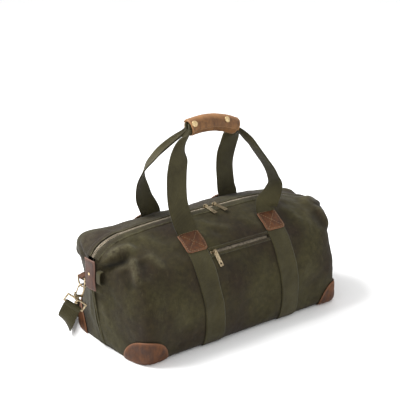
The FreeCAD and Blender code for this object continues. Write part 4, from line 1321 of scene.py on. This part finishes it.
def dome(name, centre, normal, radius, height, material, slot, body, nodes):
    """A round stud: rim, groove and domed middle."""
    normal = unit(np.asarray(normal, float))
    side = unit(np.cross(normal, (1.0, 0.03, 0.02)))
    other = np.cross(normal, side)
    profile = [(0.98, -0.30), (1.0, 0.10), (0.96, 0.34), (0.86, 0.42), (0.78, 0.36), (0.72, 0.46),
               (0.60, 0.72), (0.42, 0.92), (0.20, 1.0)]
    spokes = 40
    points = [centre + normal * height * 1.02]
    for reach, rise in profile[::-1]:
        for k in range(spokes):
            turn = 2 * math.pi * k / spokes
            points.append(centre + normal * height * rise + radius * reach
                          * (side * math.cos(turn) + other * math.sin(turn)))
    faces = [(0, 1 + k, 1 + (k + 1) % spokes) for k in range(spokes)]
    for ring in range(len(profile) - 1):
        low = 1 + ring * spokes
        for k in range(spokes):
            m = (k + 1) % spokes
            faces.append((low + k, low + spokes + k, low + spokes + m, low + m))
    base = 1 + (len(profile) - 1) * spokes
    faces.append(tuple(base + k for k in reversed(range(spokes))))
    piece = make_piece(name, points, faces, material, slot)
    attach(piece, body)
    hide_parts(*nodes)


def make_grip():
    leather_round_grip("grip_wrap_leather", GRIP_X, (-180, 180), -0.0022, 0.0022, "grip",
                       ["grip_wrap"], closed=True)
    leather_round_grip("grip_flap_leather", (GRIP_X[0] - 0.001, GRIP_X[1] + 0.001), (-18, 140),
                       0.0004, 0.0020, "grip_flap", ["grip_flap"], closed=False)
    for i, x in enumerate(SNAP_X):
        spot, normal = grip_point(np.array([x]), np.array([float(SNAP_ANGLE)]), np.array([STITCH_RISE]))
        nodes = ["grip_snap_caps"] if i == 0 else []
        dome(f"grip_snap_{i + 1}", spot[0], normal[0], 0.0068, 0.0026, STUD, "stud_brass",
             "grip_flap", nodes)
    lines = []
    xs = np.linspace(GRIP_X[0] + 0.003, GRIP_X[1] - 0.003, 60)
    lines.append(grip_point(xs, np.full(60, -12.0), np.full(60, STITCH_RISE)))
    turns = np.linspace(-12, 134, 40)
    for x in (GRIP_X[0] + 0.003, GRIP_X[1] - 0.003):
        lines.append(grip_point(np.full(40, x), turns, np.full(40, STITCH_RISE)))
    stitches("grip_stitches", lines, THREAD, "grip_leather", body="grip_flap")
    for name, low, high in (("front", -0.0085, -0.0030), ("back", 0.0030, 0.0085)):
        count = 50
        xs = np.linspace(GRIP_X[0] - 0.002, GRIP_X[1] + 0.002, count)
        middle, _, out = arch_frame(xs)
        centres = middle + np.array([0, (low + high) / 2, 0])
        across = np.tile([0.0, 1.0, 0.0], (count, 1))
        piece = sweep(f"handle_in_grip_{name}", centres, out, across,
                      band_profile(0.0115, high - low, 12, 0), WEBBING, "webbing")
        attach(piece, "grip")
        if name == "front":
            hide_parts("handles_in_grip")


# ---------------------------------------------------------------- end trim
TAB_HALF = 0.017
TAB_Z = (0.136, 0.199)
RIVET_Z = 0.168


def make_end_tabs():
    rows, cols = 30, 20
    lines = []
    for end, end_name in ENDS:
        z = np.repeat(np.linspace(*TAB_Z, rows), cols)
        share = np.tile(np.linspace(-1, 1, cols), rows)
        neck = 1 - 0.06 * np.sin(math.pi * (z - TAB_Z[0]) / (TAB_Z[1] - TAB_Z[0]))
        y = share * TAB_HALF * neck
        out = 0.3036 + 0.0006 * np.sin(z * 130) - 0.0010 * share ** 2
        points = np.stack([end * out, y, z], axis=1)
        normals = np.tile([float(end), 0, 0], (len(points), 1))
        piece = leather_skin(f"{end_name}_tab_leather", points, normals, (rows, cols), DARK,
                             "dark_leather", 0.0030, end == RIGHT)
        ride_bag(piece, f"{end_name}_end_tab")
        for height in (TAB_Z[1] - 0.006, TAB_Z[1] - 0.012):
            span = np.linspace(-0.0135, 0.0135, 12)
            spots = np.stack([np.full(12, end * 0.3036), span, np.full(12, height)], axis=1)
            lines.append((spots, np.tile([float(end), 0, 0], (12, 1))))
        for y_edge in (-0.0140, 0.0140):
            span = np.linspace(TAB_Z[0] + 0.004, TAB_Z[1] - 0.014, 20)
            spots = np.stack([np.full(20, end * 0.3032), np.full(20, y_edge), span], axis=1)
            lines.append((spots, np.tile([float(end), 0, 0], (20, 1))))
        nodes = ["tab_rivets"] if end == LEFT else []
        dome(f"{end_name}_tab_rivet", np.array([end * 0.3040, 0, RIVET_Z]), (end, 0, 0), 0.0062,
             0.0024, STUD, "stud_brass", "bag", nodes)
        make_side_loop(end, end_name)
        make_ring_loop(end, end_name)
    stitches("tab_stitches", lines, DARK_THREAD, "dark_leather")


def make_side_loop(end, end_name):
    """A short loop of webbing beside the tab, on the front half of the end."""
    shape = []
    for z, out in ((0.152, 0.2930), (0.153, 0.2990), (0.1565, 0.3012), (0.165, 0.3016),
                   (0.1745, 0.3012), (0.1785, 0.2990), (0.1795, 0.2930)):
        shape.append((end * out, -0.027, z))
    rows = smooth_path(shape, 30)
    run = tangents(rows)
    across = np.tile([0.0, 1.0, 0.0], (len(rows), 1))
    normals = unit(np.cross(run, across))
    piece = sweep(f"{end_name}_side_loop", rows, across, normals,
                  band_profile(0.0072, 0.0020, 10, 0.0002), WEBBING, "webbing")
    ride_bag(piece)
    if end == LEFT:
        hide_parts("webbing_tabs")


def make_ring_loop(end, end_name):
    """Leather that comes out from under the tab, goes round the D-ring's bar and back."""
    bar_x, bar_z = 0.303, 0.150
    radius = 0.0036
    shape = [(0.2925, 0.1560), (0.2970, 0.1552), (0.3005, 0.1542)]
    for degrees in range(100, -101, -25):
        turn = math.radians(degrees)
        shape.append((bar_x + radius * math.cos(turn), bar_z + radius * math.sin(turn)))
    shape += [(0.2985, 0.1468), (0.2960, 0.1462), (0.2925, 0.1460)]
    rows = smooth_path([(end * x, 0.033, z) for x, z in shape], 60)
    run = tangents(rows)
    across = np.tile([0.0, 1.0, 0.0], (len(rows), 1))
    normals = unit(np.cross(run, across))
    piece = sweep(f"{end_name}_ring_leather", rows, across, normals,
                  band_profile(0.0088, 0.0019, 10, 0), TAN, "tan_leather")
    ride_bag(piece, f"{end_name}_ring_loop")


# ---------------------------------------------------------------- strap
# The strap's centre line, left half, with the direction of its width; the right half mirrors it
STRAP_ROUTE = [
    (-0.3205, 0.0465, 0.0843, (0.64, -0.51, -0.57)), (-0.328, 0.051, 0.068, (0.62, -0.44, -0.65)),
    (-0.327, 0.064, 0.046, (0.5, -0.3, -0.81)), (-0.311, 0.086, 0.028, (0.3, -0.15, -0.94)),
    (-0.287, 0.110, 0.020, (0.1, 0, -1)), (-0.271, 0.134, 0.0195, (0, 0, -1)),
    (-0.247, 0.152, 0.0195, (0, 0, -1)), (-0.205, 0.158, 0.020, (0, 0, -1)),
    (-0.140, 0.164, 0.0215, (0, 0, -1)), (-0.060, 0.168, 0.023, (0, 0, -1)),
]
RING_BAR = np.array([-0.31844, 0.04516, 0.08764])
RING_BAR_DIR = np.array([0.644, -0.507, -0.574])


def spline_points(points):
    """Points along the NURBS spline of these control points."""
    data = bpy.data.curves.new("route", "CURVE")
    data.dimensions = "3D"
    data.resolution_u = 12
    spline = data.splines.new("NURBS")
    spline.points.add(len(points) - 1)
    for made, place in zip(spline.points, points):
        made.co = (*place, 1)
    spline.order_u = 3
    spline.use_endpoint_u = True
    holder = bpy.data.objects.new("route", data)
    mesh = bpy.data.meshes.new_from_object(holder)
    result = np.array([v.co[:] for v in mesh.vertices])
    bpy.data.objects.remove(holder)
    bpy.data.meshes.remove(mesh)
    bpy.data.curves.remove(data)
    return result


def make_strap():
    route = list(STRAP_ROUTE)
    for x, y, z, across in reversed(STRAP_ROUTE):
        route.append((-x, y, z, (-across[0], across[1], across[2])))
    path = spline_points([row[:3] for row in route])
    across = spline_points([row[3] for row in route])
    run = tangents(path)
    across = unit(across - run * np.einsum("nk,nk->n", across, run)[:, None])
    normals = np.cross(run, across)
    strap = sweep("strap_band", path, across, normals,
                  band_profile(STRAP_WIDTH / 2, STRAP_THICK, 18, 0.0003), WEBBING, "webbing")
    ride_bag(strap, "strap_webbing")
    loops = [make_strap_loop(LEFT, "left"), make_strap_loop(RIGHT, "right")]


def make_strap_loop(end, end_name):
    """The strap's end, folded round the ring's bar and back on itself."""
    mirror = np.array([-end, 1, 1])
    bar = RING_BAR * mirror
    direction = unit(RING_BAR_DIR) * mirror
    down = np.array([-0.0075, 0.0045, -0.0163]) * mirror
    down = unit(down - direction * (down @ direction))
    out = np.cross(direction, down)
    rows = []
    reach = 0.0036
    for degrees in range(0, 361, 20):
        turn = math.radians(degrees)
        long, wide = (1.0, 1.0) if 40 < degrees < 320 else (1.9, 0.72)
        rows.append(bar + down * reach * math.cos(turn) * long + out * reach * math.sin(turn) * wide)
    rows = smooth_path(rows, 60)
    run = tangents(rows)
    across = np.tile(direction, (len(rows), 1))
    normals = unit(np.cross(run, across))
    piece = sweep(f"{end_name}_strap_loop", rows, across, normals,
                  band_profile(STRAP_WIDTH / 2 - 0.0006, STRAP_THICK * 0.9, 14, 0.0002),
                  WEBBING, "webbing")
    ride_bag(piece)
    return piece


# ---------------------------------------------------------------- hardware
def make_hardware():
    for _, end_name in ENDS:
        for part, width in (("zip_slider", 0.0006), ("zip_pull", 0.0004), ("hook", 0.0005),
                            ("hook_gate", 0.0003)):
            piece = bevelled(f"{end_name}_{part}", BRASS, width)
        for part in ("d_ring", "strap_ring"):
            paint(f"{end_name}_{part}", BRASS)
    for part, width in (("pocket_zip_slider", 0.0006), ("pocket_zip_pull", 0.0004),
                        ("strap_adjuster", 0.0008)):
        piece = bevelled(part, BRASS, width)
    paint("grip_snap_posts", STUD)
    paint("base_board", BOARD)


def paint(node_name, material):
    """Give a CAD part its finish."""
    data = frame["nodes"][node_name].data
    data.materials.clear()
    data.materials.append(material)


# ---------------------------------------------------------------- studio
def make_studio():
    floor_mesh = bpy.data.meshes.new("floor")
    reach = 6.0
    corners = [(-reach, -reach, 0), (reach, -reach, 0), (reach, reach, 0), (-reach, reach, 0)]
    floor_mesh.from_pydata(corners, [], [(0, 1, 2, 3)])
    floor_mesh.materials.append(floor_material())
    floor = bpy.data.objects.new("floor", floor_mesh)
    bpy.context.scene.collection.objects.link(floor)
    world = bpy.data.worlds.new("studio")
    world.use_nodes = True
    background = world.node_tree.nodes["Background"]
    background.inputs["Color"].default_value = (1.0, 1.0, 1.0, 1)
    background.inputs["Strength"].default_value = 1.0
    bpy.context.scene.world = world
    bpy.context.scene.view_settings.view_transform = "Standard"
    lights = [("key", (-1.1, 1.0, 2.4), 92, 1.1), ("fill", (0.4, -2.8, 1.5), 5, 2.0)]
    for name, place, power, size in lights:
        data = bpy.data.lights.new(name, "AREA")
        data.energy = power
        data.size = size
        lamp = bpy.data.objects.new(name, data)
        lamp.location = place
        lamp.rotation_euler = (Vector((0, 0, 0.15)) - Vector(place)).to_track_quat("-Z", "Y").to_euler()
        bpy.context.scene.collection.objects.link(lamp)


make_camera()
make_strap()
make_canvas_side(FRONT, "canvas_front", ["front_panel", "left_end_front_half", "right_end_front_half"])
make_canvas_side(BACK, "canvas_back", ["back_panel", "left_end_back_half", "right_end_back_half"])
make_canvas_base()
make_lining()
make_webbing_runs()
make_handle_patches()
make_corner_patches()
make_end_seams()
make_zip()
make_pocket_zip()
make_legs()
make_grip()
make_end_tabs()
make_hardware()
make_studio()
